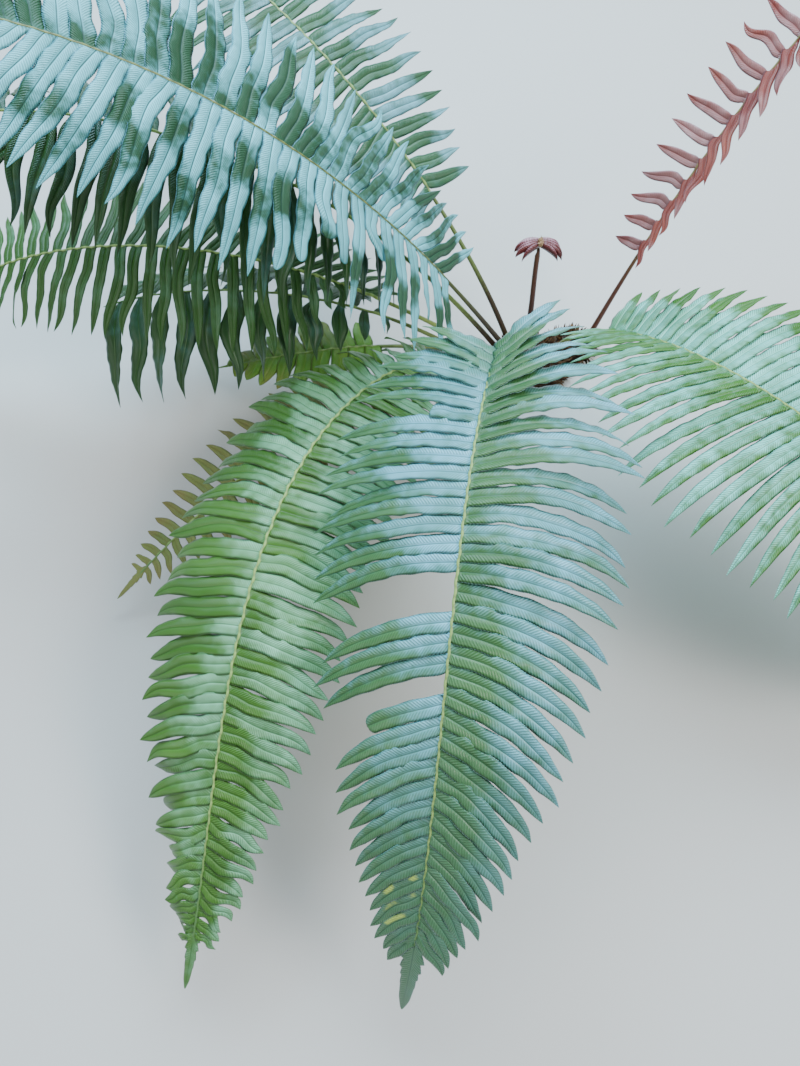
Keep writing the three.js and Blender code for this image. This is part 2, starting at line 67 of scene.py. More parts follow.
# The sizes and shares of the source's growing rule; lengths are in millimetres.
RIB_STEPS = 240
LEAFLET_STEPS = 12
STEM_FOOT_RADIUS = 4.3
STEM_TOP_RADIUS = 2.5
STEM_ROOT = 34.0
STEM_ROOT_ABOVE_GROUND = 7.0
RIB_WIDTH = 5.0
RIB_TIP_WIDTH = 2.0
LEAFLET_THICKNESS = 2.1
SHORTEST_LEAFLET = 6.0
TAPER_POWER = 3.2
LAST_LEAFLET = 0.85
TAIL_WIDTH = 26.0
TAIL_SLENDER = 0.2
TAIL_LEAD = 0.25
GROUND_REST = 12.0
SAG_AT_FOOT = 0.25
SAG_GROWTH = 1.5
SAG_LENGTH = 150.0
SICKLE_POWER = 1.5
FOLD_REACH = 0.25
LEAFLET_SPACE = 1.0
CLOSE = 40.0
LEAFLET_REACH = 140.0
TRIMS = (1.0, 0.85, 0.7, 0.55, 0.4)
LENGTH_SCATTER = 0.05
SAG_SCATTER = 0.22
SAG_ROW = 7
SCATTER_BY_LEAFLET = 12.9898
SCATTER_BY_ROW = 78.233
SCATTER_SPREAD = 43758.5453

# What the scene adds to those rules.
LEAF_SEED = 100
ALTERNATION = 0.25
STALK_GROOVE = 0.22
CROZIER_GROOVE = 0.1
# Span of the painted highlight on the crozier head's leaflets, in mm.
HEAD_HIGHLIGHT_SPAN = 30.0
VEIN_SLANT = 0.85
YELLOW_PATCH = (0.40, 0.55, 0.09)
WORN_BROWN = (0.26, 0.14, 0.05)


class Side(enum.IntEnum):
    """Which side of the rib a leaflet stands on, seen from above with the tip ahead."""

    LEFT = -1
    RIGHT = 1


class Patch(enum.Enum):
    """Names of the point attributes that the finishes read."""

    LEAF = "leaf"
    KIND = "kind"
    # Painted sheen amount, yellowing, and share along the blade.
    SHEEN = "sheen"
    STALK = "stalk"


@dataclass(frozen=True)
class Growth:
    """Sizes and headings of one frond: degrees, millimetres and shares of its rib."""

    name: str
    azimuth: float
    sway: float
    hook: float
    rise: float
    fall: float
    bend: float
    length: float
    blade_from: float
    pairs: int
    leaf: float
    lean_base: float
    lean_tip: float
    sickle: float
    foot: float = 44.0
    foot_z: float = 46.0
    foot_turn: float = 0.0
    foot_x: float = 0.0
    foot_y: float = 0.0
    base_share: float = 0.5
    peak: float = 0.3
    taper: float = 1.5
    crowd: float = 1.2
    fill: float = 0.94
    skew: float = 0.0
    lift: float = 0.0
    lift_foot: float = 0.0
    sag_near: float = 0.3
    sag_far: float = 0.3
    bank: float = 0.0
    bank_tip: float = 0.0
    tail: float = 60.0
    split: int = 1
    bites_left: tuple[tuple[int, float], ...] = ()
    bites_right: tuple[tuple[int, float], ...] = ()

    def bite(self, side: Side, pair: int) -> float:
        """Share of the leaflet that is left; 1 where it is whole."""
        bites = self.bites_left if side is Side.LEFT else self.bites_right
        return dict(bites).get(pair, 1.0)


@dataclass(frozen=True)
class LeafShape:
    """How a frond's leaflets are formed, as shares of their half width or in millimetres."""

    fold: float = 0.05
    puff: float = 0.10
    groove: float = 0.04
    wave: float = 0.08
    wave_length: float = 34.0
    twist: float = 6.0
    roll: float = 5.0
    wander: float = 1.0
    join: float = 0.96
    tooth: float = 0.42
    plateau: float = 4.2
    widen: tuple[float, float] = (1.14, 1.14)
    first_widen: float = 0.0
    droop: tuple[float, float] = (0.0, 0.0)
    hook: float = 0.0
    ripple: float = 0.018
    foot_reach: float = 5.0


@dataclass(frozen=True)
class Band:
    """Where a row's leaflets carry their painted sheen, a pale sky reflection painted into their colour, as
    shares of their length.
    """

    start: float
    end: float
    strength: float = 1.0
    rest: float = 0.15
    soft: float = 0.12
    drift: float = 0.08
    jitter: float = 0.05
    fade: float = 0.0
    whim: float = 0.3

    def amount(self, share: np.ndarray, blade: float, chance: float) -> np.ndarray:
        """Painted sheen from 0 to 1.

        Args:
            share: Shares along the leaflet.
            blade: Share along the blade.
            chance: The leaflet's own scatter, about -1 to 1.

        Returns:
            One number for each share.
        """
        move = self.drift * math.sin(9.0 * blade + 1.0) + self.jitter * chance
        rising = np.clip((share - self.start - move) / self.soft + 0.5, 0, 1)
        falling = np.clip((share - self.end - move) / self.soft + 0.5, 0, 1)
        inside = rising * rising * (3 - 2 * rising) * (1 - falling * falling * (3 - 2 * falling))
        inside = inside * (1 - self.fade * min(max((blade - 0.4) / 0.5, 0.0), 1.0))
        inside = inside * (1 - self.whim * abs((7.3 * chance) % 2.0 - 1.0))
        return self.rest + (self.strength - self.rest) * inside


@dataclass(frozen=True)
class LeafFinish:
    """Colours and gloss of one kind of leaflet."""

    name: str
    slot: str
    low: tuple[float, float, float]
    high: tuple[float, float, float]
    # Colour of the painted sheen, a pale sky reflection painted into the leaflet.
    painted_sheen: tuple[float, float, float]
    midrib: tuple[float, float, float]
    margin: tuple[float, float, float]
    under: tuple[float, float, float]
    # How far the painted sheen covers the leaflet's own colour.
    sheen_share: float = 0.8
    roughness: float = 0.36
    vein_depth: float = 0.4
    # How much painted shade darkens the furrows between the veins.
    vein_share: float = 0.42
    fade: float = 0.0
    gloss: float = 0.2
    shade_foot: float = 0.0
    rib_share: float = 0.65
    ragged: float = 0.9
    specular: float = 0.4
    vein_gap: float = 2.8
    evenness: float = 0.55
    # Painted sheen added on one half of each leaflet and taken from the other.
    half_sheen: float = 0.1
    shade_tip: float = 0.0
    # How much of the painted sheen is taken off near the foot of the blade.
    foot_sheen_cut: float = 0.0
    tip: tuple[float, float, float] = (0.066, 0.185, 0.085)


@dataclass(frozen=True)
class StalkFinish:
    """Colours of a stalk from its foot to its tip."""

    name: str
    slot: str
    foot: tuple[float, float, float]
    upper: tuple[float, float, float]
    tip: tuple[float, float, float]
    foot_share: float = 0.12
    roughness: float = 0.45
    leafy: tuple[float, float, float] = (0.09, 0.21, 0.06)


@dataclass
class Rib:
    """The line that carries a frond's leaflets."""

    growth: Growth
    line: np.ndarray = field(init=False)

    def __post_init__(self) -> None:
        """Grows the line from the foot in equal steps."""
        g = self.growth
        turn = math.radians(g.azimuth + g.foot_turn)
        start = np.array([g.foot_x + g.foot * math.cos(turn), g.foot_y + g.foot * math.sin(turn), g.foot_z])
        middle = (np.arange(RIB_STEPS) + 0.5) / RIB_STEPS
        steps = self.forward(middle) * g.length / RIB_STEPS
        self.line = np.vstack([start, start + np.cumsum(steps, 0)])

    def climb(self, s: np.ndarray) -> np.ndarray:
        """Climb in radians at shares s."""
        g = self.growth
        return np.radians(g.rise + (g.fall - g.rise) * np.clip(s, 0, None) ** g.bend)

    def heading(self, s: np.ndarray) -> np.ndarray:
        """Heading in radians at shares s."""
        g = self.growth
        return np.radians(g.azimuth + g.sway * s + g.hook * s**3)

    def forward(self, s: np.ndarray) -> np.ndarray:
        """Unit vectors along the rib at shares s."""
        e, a = self.climb(s), self.heading(s)
        return np.stack([np.cos(e) * np.cos(a), np.cos(e) * np.sin(a), np.sin(e)], -1)

    def frame(self, s: np.ndarray) -> tuple[np.ndarray, np.ndarray, np.ndarray, np.ndarray]:
        """Point, forward, right and upper directions of the blade.

        Args:
            s: Shares of the rib.

        Returns:
            Four arrays with one row for each share.
        """
        g = self.growth
        s = np.atleast_1d(np.asarray(s, float))
        x = np.clip(s, 0, 1) * RIB_STEPS
        i = np.minimum(x.astype(int), RIB_STEPS - 1)
        at = self.line[i] + (self.line[i + 1] - self.line[i]) * (x - i)[:, None]
        forward = self.forward(s)
        at = at + forward * (s - np.clip(s, 0, 1))[:, None] * g.length
        a = self.heading(s)
        level = np.stack([np.sin(a), -np.cos(a), np.zeros_like(a)], -1)
        over = np.cross(level, forward)
        bank = np.radians(g.bank + (g.bank_tip - g.bank) * s)[:, None]
        right = level * np.cos(bank) - over * np.sin(bank)
        upper = over * np.cos(bank) + level * np.sin(bank)
        return at, forward, right, upper

    def rooms(self) -> np.ndarray:
        """Shares of the rib where one leaflet's room ends and the next one's begins."""
        g = self.growth
        end = 1 - g.tail * LAST_LEAFLET / g.length
        k = np.arange(g.pairs + 1) / g.pairs
        return g.blade_from + (end - g.blade_from) * (1 - (1 - k) ** g.crowd)

    def half_width(self, s: np.ndarray) -> np.ndarray:
        """Half the width of the solid rib between the leaflets at shares s."""
        return (RIB_WIDTH + (RIB_TIP_WIDTH - RIB_WIDTH) * s) / 2


def scatter(k: np.ndarray, row: int) -> np.ndarray:
    """Repeatable scatter from 0 to 1 for leaflets k of a row."""
    x = np.sin(k * SCATTER_BY_LEAFLET + row * SCATTER_BY_ROW) * SCATTER_SPREAD
    return x - np.floor(x)


def unit(v: np.ndarray) -> np.ndarray:
    """Vectors scaled to length one."""
    return v / np.maximum(np.linalg.norm(v, axis=-1, keepdims=True), 1e-12)


@dataclass
class LeafletRow:
    """The leaflets along one side of a rib; each array starts with (leaflet, step)."""

    growth: Growth
    rib: Rib
    side: Side
    number: int
    shift: float = 0.0
    at: np.ndarray = field(init=False)
    way: np.ndarray = field(init=False)
    face: np.ndarray = field(init=False)
    across: np.ndarray = field(init=False)
    width: np.ndarray = field(init=False)
    last: np.ndarray = field(init=False)
    length: np.ndarray = field(init=False)

    def __post_init__(self) -> None:
        """Grows the row and notes what is left of each leaflet."""
        share = np.array([self.growth.bite(self.side, pair) for pair in range(self.growth.pairs)])
        self.last = np.floor(LEAFLET_STEPS * share + 0.5).astype(int)
        self.grow()

    def stand_apart(self, shift: float) -> None:
        """Moves both rows of a rib apart by a share of a room, so that leaflets alternate."""
        self.shift = shift * int(self.side)
        self.grow()

    def grow(self) -> None:
        """Grows every leaflet of the row by the source's rule."""
        g, side = self.growth, int(self.side)
        edges = self.rib.rooms()
        k = np.arange(g.pairs)
        s = (edges[:-1] + edges[1:]) / 2 + self.shift * (edges[1:] - edges[:-1])
        q = (s - g.blade_from) / (1 - g.blade_from)
        at, forward, right, upper = self.rib.frame(s)
        self.length = self.reach(q) * (1 + LENGTH_SCATTER * (2 * scatter(k, self.number) - 1))
        room = (edges[1:] - edges[:-1]) * g.length
        lean = g.lean_base + (g.lean_tip - g.lean_base) * q + g.skew * side
        hang = g.sag_far if side > 0 else g.sag_near
        sag = hang * (1 + SAG_SCATTER * (2 * scatter(k, self.number + SAG_ROW) - 1))
        fold = g.lift_foot * np.maximum(1 - q / FOLD_REACH, 0) ** 2
        lift = np.radians(g.lift + fold)[:, None]
        point = at.copy()
        found: dict[str, list[np.ndarray]] = {"at": [], "way": [], "face": [], "across": [], "width": []}
        for i in range(LEAFLET_STEPS + 1):
            t = i / LEAFLET_STEPS
            turn = np.radians(lean + g.sickle * t**SICKLE_POWER)[:, None]
            way = right * side * np.cos(turn) * np.cos(lift)
            way = way + forward * np.sin(turn) * np.cos(lift) + upper * np.sin(lift)
            way[:, 2] -= sag * (SAG_AT_FOOT + SAG_GROWTH * t) * self.length / SAG_LENGTH
            way[:, 2] = np.where(point[:, 2] < GROUND_REST, np.maximum(way[:, 2], 0), way[:, 2])
            way = unit(way)
            face = unit(upper - way * np.sum(upper * way, -1, keepdims=True))
            across = forward - way * np.sum(forward * way, -1, keepdims=True)
            across = unit(across - face * np.sum(forward * face, -1, keepdims=True))
            found["at"].append(point.copy())
            found["way"].append(way)
            found["face"].append(face)
            found["across"].append(across)
            found["width"].append(room * np.cos(np.radians(lean)) * g.fill * (1 - t**TAPER_POWER))
            point = point + way * self.length[:, None] / LEAFLET_STEPS
        self.at, self.way, self.face, self.across, self.width = (np.stack(v, 1) for v in found.values())
        self.narrow()

    def reach(self, q: np.ndarray) -> np.ndarray:
        """Leaflet lengths at shares q of the blade."""
        g = self.growth
        rising = g.leaf * (g.base_share + (1 - g.base_share) * np.sin(np.pi / 2 * np.minimum(q / g.peak, 1)))
        fall = np.clip((q - g.peak) / (1 - g.peak), 0, None) ** g.taper
        return np.where(q < g.peak, rising, np.maximum(g.leaf * (1 - fall), SHORTEST_LEAFLET))

    def narrow(self) -> None:
        """Narrows each leaflet where its neighbours in the row come close."""
        count = len(self.last)
        for k in range(count):
            for other in (k - 1, k + 1):
                if not self.last[k] or not 0 <= other < count or not self.last[other]:
                    continue
                gap = np.abs(np.sum((self.at[other] - self.at[k]) * self.across[k], -1))
                self.width[k] = np.minimum(self.width[k], gap * self.growth.fill)


@dataclass
class Thicket:
    """All fronds' leaflet rows, kept clear of one another as in the source."""

    rows: list[tuple[int, LeafletRow]]
    lines: list[np.ndarray]

    def clear(self) -> None:
        """Shortens or leaves out leaflets that would run into another frond."""
        placed: list[tuple[int, LeafletRow, int]] = []
        for owner, row in self.rows:
            for k in range(len(row.last)):
                if not row.last[k]:
                    continue
                reach = np.linalg.norm(row.at[k, 0] - row.at[k, LEAFLET_STEPS])
                middle = row.at[k, (LEAFLET_STEPS + 1) // 2]
                near = [
                    (other, j)
                    for frond, other, j in placed
                    if frond != owner
                    and np.linalg.norm(other.at[j, (LEAFLET_STEPS + 1) // 2] - middle) < reach + LEAFLET_REACH
                ]
                kept = next((trim for trim in TRIMS if self.fits(owner, row, k, near, trim)), 0.0)
                row.last[k] = int(math.floor(row.last[k] * kept + 0.5))
                if row.last[k]:
                    placed.append((owner, row, k))

    def fits(self, owner: int, row: LeafletRow, k: int, near: list, trim: float) -> bool:
        """Whether leaflet k, cut to a share, keeps clear of other leaflets and ribs.

        Args:
            owner: Number of the leaflet's frond.
            row: The leaflet's row.
            k: Its place in the row.
            near: Leaflets of other fronds close by, as (row, place).
            trim: Share of the leaflet that is kept.

        Returns:
            True where nothing comes too close.
        """
        own = slice(1, int(math.floor(row.last[k] * trim + 0.5)) + 1)

        def crowded(points: np.ndarray, facing: Callable[[np.ndarray], object]) -> bool:
            gap = points[None] - row.at[k, own][:, None]
            apart = np.linalg.norm(gap, axis=-1)
            close = apart <= CLOSE
            if not close.any():
                return False
            way = gap / np.maximum(apart, TINY)[..., None]
            mine = self.support(row, k, own, way, False)
            return bool((close & (apart < mine + facing(way) + LEAFLET_SPACE)).any())

        for other, j in near:
            theirs = slice(1, other.last[j] + 1)
            if crowded(other.at[j, theirs], lambda way: self.support(other, j, theirs, way, True)):
                return False
        lines = (line[::2] for number, line in enumerate(self.lines) if number != owner)
        return not any(crowded(line, lambda way: STEM_FOOT_RADIUS) for line in lines)

    @staticmethod
    def support(row: LeafletRow, k: int, part: slice, way: np.ndarray, second: bool) -> np.ndarray:
        """How far a leaflet's steps reach towards given directions.

        Args:
            row: The leaflet's row.
            k: Its place in the row.
            part: Which of its steps are meant.
            way: Directions as an array (first leaflet's steps, second one's steps, 3).
            second: Whether its steps run along the second axis.

        Returns:
            Reach in millimetres for each direction.
        """
        pick = (None, slice(None)) if second else (slice(None), None)
        stride = np.linalg.norm(row.at[k, 0] - row.at[k, 1])
        sizes = (
            (row.across, row.width[k, part][pick] / 2),
            (row.face, LEAFLET_THICKNESS),
            (row.way, stride / 2),
        )
        return sum(np.abs(np.sum(way * axis[k, part][pick], -1)) * size for axis, size in sizes)


@functools.lru_cache(maxsize=None)
def ladder(first: tuple[int, ...], second: tuple[int, ...]) -> tuple[tuple[int, int, int], ...]:
    """Triangles between two lines of vertices that run side by side.

    Args:
        first: Vertex numbers of one line.
        second: Vertex numbers of the other.

    Returns:
        Triangles that face the viewer where first lies left of second and both run away.
    """
    faces, i, j = [], 0, 0
    while i < len(first) - 1 or j < len(second) - 1:
        ahead = (i + 1) / max(len(first) - 1, 1) if i < len(first) - 1 else 9.0
        beside = (j + 1) / max(len(second) - 1, 1) if j < len(second) - 1 else 9.0
        if ahead < beside or (ahead == beside and len(first) >= len(second)):
            faces.append((first[i], second[j], first[i + 1]))
            i += 1
        else:
            faces.append((first[i], second[j], second[j + 1]))
            j += 1
    return tuple(faces)


class LeafletMesh:
    """Grid of one closed, toothed leaflet, and its triangles by number of segments."""

    TOP = np.array([-0.72, -0.38, -0.10, 0.0, 0.10, 0.38, 0.72])
    BOTTOM = np.array([-0.5, 0.0, 0.5])
    TEETH = np.array([0.0, 0.42, 0.5, 0.92])
    TOOTH_OUT = np.array([0.0, 1.0, 0.0, 1.0])

    @classmethod
    @functools.lru_cache(maxsize=None)
    def faces(cls, segments: int) -> np.ndarray:
        """Triangles of a leaflet whose across, way and face directions are right-handed."""
        top, bottom, teeth = len(cls.TOP), len(cls.BOTTOM), len(cls.TEETH)
        rim = teeth * segments + 1
        start_bottom = top * (segments + 1)
        start_left = start_bottom + bottom * (segments + 1)
        start_right = start_left + rim
        tip = start_right + rim

        def column(start: int, width: int, c: int) -> tuple[int, ...]:
            return tuple(start + r * width + c for r in range(segments + 1))

        left = tuple(range(start_left, start_left + rim))
        right = tuple(range(start_right, start_right + rim))
        above = [left] + [column(0, top, c) for c in range(top)] + [right]
        below = [left] + [column(start_bottom, bottom, c) for c in range(bottom)] + [right]
        found: list[tuple[int, int, int]] = []
        for a, b in zip(above, above[1:]):
            found += [(x, y, z) for x, y, z in ladder(a, b)]
        for a, b in zip(below, below[1:]):
            found += [(x, z, y) for x, y, z in ladder(a, b)]
        foot_above = tuple(c[0] for c in above)
        foot_below = tuple(c[0] for c in below)
        found += [(x, z, y) for x, y, z in ladder(foot_above, foot_below)]
        end_above = [c[-1] for c in above]
        end_below = [c[-1] for c in below]
        found += [(a, b, tip) for a, b in zip(end_above, end_above[1:])]
        found += [(b, a, tip) for a, b in zip(end_below, end_below[1:])]
        kept = [f for f in found if len(set(f)) == 3]
        return np.array(kept, np.int32)


def smooth(knots: np.ndarray, t: np.ndarray) -> np.ndarray:
    """Smooth values between evenly spaced knots at shares t."""
    slope = np.gradient(knots, axis=0)
    x = np.clip(t, 0, 1) * (len(knots) - 1)
    i = np.minimum(x.astype(int), len(knots) - 2)
    f = (x - i)[:, None]
    a, b = knots[i], knots[i + 1]
    return (
        (2 * f**3 - 3 * f**2 + 1) * a
        + (f**3 - 2 * f**2 + f) * slope[i]
        + (3 * f**2 - 2 * f**3) * b
        + (f**3 - f**2) * slope[i + 1]
    )


class Leaflet:
    """One leaflet: its own chances, and the surface that they give it."""

    FOLD_CHANCE = 0.5
    CURL_CHANCE = 0.6
    HOOK_CHANCE = 0.6
    FIRST_LEAFLETS = 0.3
    HOOK_TURN = 0.2
    CUT = 0.1
    CUT_LEAST = 0.12
    SWINGS = (1.7, 3.1)
    SECOND_SWING = 0.5
    BOW_POWER = 2.5
    FINE_WAVE = 0.45
    FINE_WAVE_LENGTH = 0.43
    FINE_WAVE_PHASE = 1.7
    GROOVE_WIDTH = 0.09
    TOOTH_FULL_WIDTH = 4
    JOIN_RUN = 7.0

    def __init__(
        self,
        shape: LeafShape,
        row: LeafletRow,
        k: int,
        foot: np.ndarray,
        blunt: bool,
        rnd: np.random.Generator,
    ) -> None:
        """Draws the leaflet's chances.

        Args:
            shape: The habit of its frond's leaflets.
            row: The row it stands in.
            k: Its place in the row.
            foot: Where it joins the rib: back point and front point.
            blunt: Whether it ends in a cut and not in its own tip.
            rnd: The frond's source of chance.
        """
        self.shape, self.row, self.k, self.foot, self.blunt = shape, row, k, foot, blunt
        self.end = row.last[k] / LEAFLET_STEPS
        self.length = row.length[k] * self.end
        taper = 1 - (np.arange(LEAFLET_STEPS) / LEAFLET_STEPS) ** TAPER_POWER
        ratio = row.width[k, :LEAFLET_STEPS] / taper
        self.ratio = np.append(ratio, ratio[-1])
        self.phase = rnd.uniform(0, 2 * np.pi, 6)
        self.twist = math.radians(shape.twist) * rnd.normal(0, 1, 2)
        self.wander = shape.wander * rnd.normal(0, 1, 2)
        self.tone = rnd.uniform(0, 1)
        self.fold = shape.fold * (1 + self.FOLD_CHANCE * rnd.normal())
        self.hand = 0 if row.side is Side.LEFT else 1
        self.tip_curl = shape.droop[self.hand] * max(1 + self.CURL_CHANCE * rnd.normal(), 0)
        self.chance = rnd.uniform(-1, 1)
        self.blade = k / row.growth.pairs
        first = max(1 - self.blade / self.FIRST_LEAFLETS, 0.0)
        self.widen = shape.widen[self.hand] * (1 + shape.first_widen * first)
        turn = min(max((self.blade - self.FIRST_LEAFLETS) / self.HOOK_TURN, -1.0), 1.0)
        self.hook = shape.hook * turn * (1 + self.HOOK_CHANCE * self.chance)

    def half(self, share: np.ndarray) -> np.ndarray:
        """Half the leaflet's width in mm at shares of its length."""
        shape, ratio = self.shape, self.ratio
        whole = share * self.end
        wide = np.interp(whole, np.linspace(0, 1, LEAFLET_STEPS + 1), ratio)
        own = wide * (1 - whole**shape.plateau) / 2 * self.widen
        if self.blunt:
            cut = np.clip(share - (1 - self.CUT), 0, 1) / self.CUT
            own = own * np.sqrt(np.clip(1 - cut**2, self.CUT_LEAST, 1))
        else:
            own = np.minimum(own, ratio[1] * (1 - share**shape.plateau) / 2 * self.widen)
        return own * (1 - (1 - shape.join) * np.exp(-((share * self.length / shape.foot_reach) ** 2)))

    def surface(self, share: np.ndarray, v: np.ndarray, drop: np.ndarray, out: np.ndarray) -> np.ndarray:
        """Points of the leaflet.

        Args:
            share: Shares of its length.
            v: Places across it, -1 to 1.
            drop: How far under its upper face each point lies, in mm.
            out: How far a tooth pushes each point out, 0 to 1.

        Returns:
            Vertices in mm.
        """
        shape, row, k, foot = self.shape, self.row, self.k, self.foot
        h = self.half(share)
        centre = smooth(row.at[k], share * self.end)
        across = unit(smooth(row.across[k], share * self.end))
        face = unit(smooth(row.face[k], share * self.end))
        angle = math.radians(shape.roll) + self.twist[0] * share + self.twist[1] * share**2
        turned = across * np.cos(angle)[:, None] + face * np.sin(angle)[:, None]
        face = face * np.cos(angle)[:, None] - across * np.sin(angle)[:, None]
        across = turned
        run = share * self.length
        slow, fast = (np.sin(np.pi * share * beats) for beats in self.SWINGS)
        swing = self.wander[0] * slow + self.wander[1] * fast * self.SECOND_SWING
        bow = self.hook * share**self.BOW_POWER
        centre = centre + across * (swing * np.minimum(share * 4, 1) + bow)[:, None]
        size = np.abs(v)
        beat = np.where(v < 0, self.phase[0], self.phase[1])
        wave = np.sin(2 * np.pi * run / shape.wave_length + beat)
        fine = 2 * np.pi * run / (shape.wave_length * self.FINE_WAVE_LENGTH) + beat * self.FINE_WAVE_PHASE
        wave = wave + self.FINE_WAVE * np.sin(fine)
        rise = self.fold * size + shape.puff * (1 - (2 * size - 1) ** 2)
        rise = rise - shape.groove * np.exp(-((v / self.GROOVE_WIDTH) ** 2))
        rise = rise + shape.wave * wave * size**2 * np.minimum(share * 5, 1)
        rise = rise * h - drop - self.tip_curl * share**3
        side_wave = 1 + shape.ripple * np.sin(2 * np.pi * run / shape.wave_length + self.phase[2] + v)
        tooth = np.sign(v) * out * shape.tooth * np.minimum(h / self.TOOTH_FULL_WIDTH, 1)
        free = centre + across * (v * h * side_wave + tooth)[:, None] + face * rise[:, None]
        blend = np.clip(run / self.JOIN_RUN, 0, 1)
        blend = (blend * blend * (3 - 2 * blend))[:, None]
        middle = (foot[0] + foot[1]) / 2
        joined = middle + (foot[1] - foot[0]) / 2 * v[:, None] * shape.join - face * drop[:, None]
        joined = joined + row.way[k, 0] * run[:, None]
        return joined * (1 - blend) + free * blend


@dataclass
class LeafletMaker:
    """Turns a leaflet's twelve steps into a fine mesh with folds, waves and teeth."""

    SEGMENTS: ClassVar = (5, 48)
    STEP_POWER: ClassVar = 0.94
    LAST_STEP: ClassVar = 0.988
    THICKNESS: ClassVar = 0.35
    MIDRIB: ClassVar = 0.75
    MIDRIB_HALF: ClassVar = 0.05
    MIDRIB_TAPER: ClassVar = 0.6
    TIP_DROP: ClassVar = 0.1
    YELLOW_ACROSS: ClassVar = (-0.9, -0.1)
    YELLOW_ALONG: ClassVar = (0.1, 0.6)
    shape: LeafShape
    bands: tuple[Band, Band]
    segment: float = 4.0
    random: np.random.Generator = field(default_factory=lambda: np.random.default_rng(5))

    def build(
        self, row: LeafletRow, k: int, foot: np.ndarray, blunt: bool, yellow: bool
    ) -> tuple[np.ndarray, ...]:
        """One leaflet.

        Args:
            row: The row it stands in.
            k: Its place in the row.
            foot: Where it joins the rib: back point and front point.
            blunt: Whether it ends in a cut and not in its own tip.
            yellow: Whether it has turned yellow.

        Returns:
            Vertices in mm, triangles, and the three attributes that the finish reads.
        """
        one = Leaflet(self.shape, row, k, foot, blunt, self.random)
        length = one.length
        segments = int(np.clip(round(length / self.segment), *self.SEGMENTS))
        t = np.linspace(0, 1, segments + 1) ** self.STEP_POWER * self.LAST_STEP
        rim = len(LeafletMesh.TEETH)
        rim_t = t[:-1, None] + (t[1:] - t[:-1])[:, None] * LeafletMesh.TEETH[None]
        rim_t = np.append(rim_t.ravel(), t[-1])
        rim_out = np.tile(LeafletMesh.TOOTH_OUT, segments + 1)[: rim * segments + 1]
        columns = []
        marks = []
        for grid, dip in ((LeafletMesh.TOP, 0.0), (LeafletMesh.BOTTOM, self.THICKNESS)):
            share = np.repeat(t, len(grid))
            v = np.tile(grid, segments + 1)
            drop = np.full_like(share, dip)
            if dip:
                drop = drop + self.MIDRIB * (np.abs(v) < self.MIDRIB_HALF) * (1 - self.MIDRIB_TAPER * share)
            columns.append(one.surface(share, v, drop, np.zeros_like(share)))
            marks.append(np.stack([v, share * length, np.full_like(v, 1.0 if dip else 0.0)], -1))
        for sign in (-1.0, 1.0):
            v = np.full_like(rim_t, sign)
            columns.append(one.surface(rim_t, v, np.zeros_like(rim_t), rim_out))
            marks.append(np.stack([v, rim_t * length, np.zeros_like(v)], -1))
        columns.append(one.surface(*(np.array([x]) for x in (1.0, 0.0, self.TIP_DROP, 0.0))))
        marks.append(np.array([[0.0, length, 0.0]]))
        leaf = np.vstack(marks)
        share = leaf[:, 1] / length
        widths = one.half(np.clip(share, 0, 1))
        leaf_mark = np.stack([leaf[:, 0], leaf[:, 1], widths], -1)
        kind = np.stack([np.full(len(leaf), one.tone), leaf[:, 2], share], -1)
        # How much painted sheen each point gets from its row's band.
        painted_sheen = self.bands[one.hand].amount(share * one.end, one.blade, one.chance)
        (low, high), (first, last) = self.YELLOW_ACROSS, self.YELLOW_ALONG
        pale = float(yellow) * (leaf[:, 0] < high) * (leaf[:, 0] > low) * (share > first) * (share < last)
        sheen = np.stack([painted_sheen, pale, np.full(len(leaf), one.blade)], -1)
        faces = LeafletMesh.faces(segments)
        if row.side is Side.RIGHT:
            faces = faces[:, ::-1]
        return np.vstack(columns), faces, leaf_mark, kind, sheen


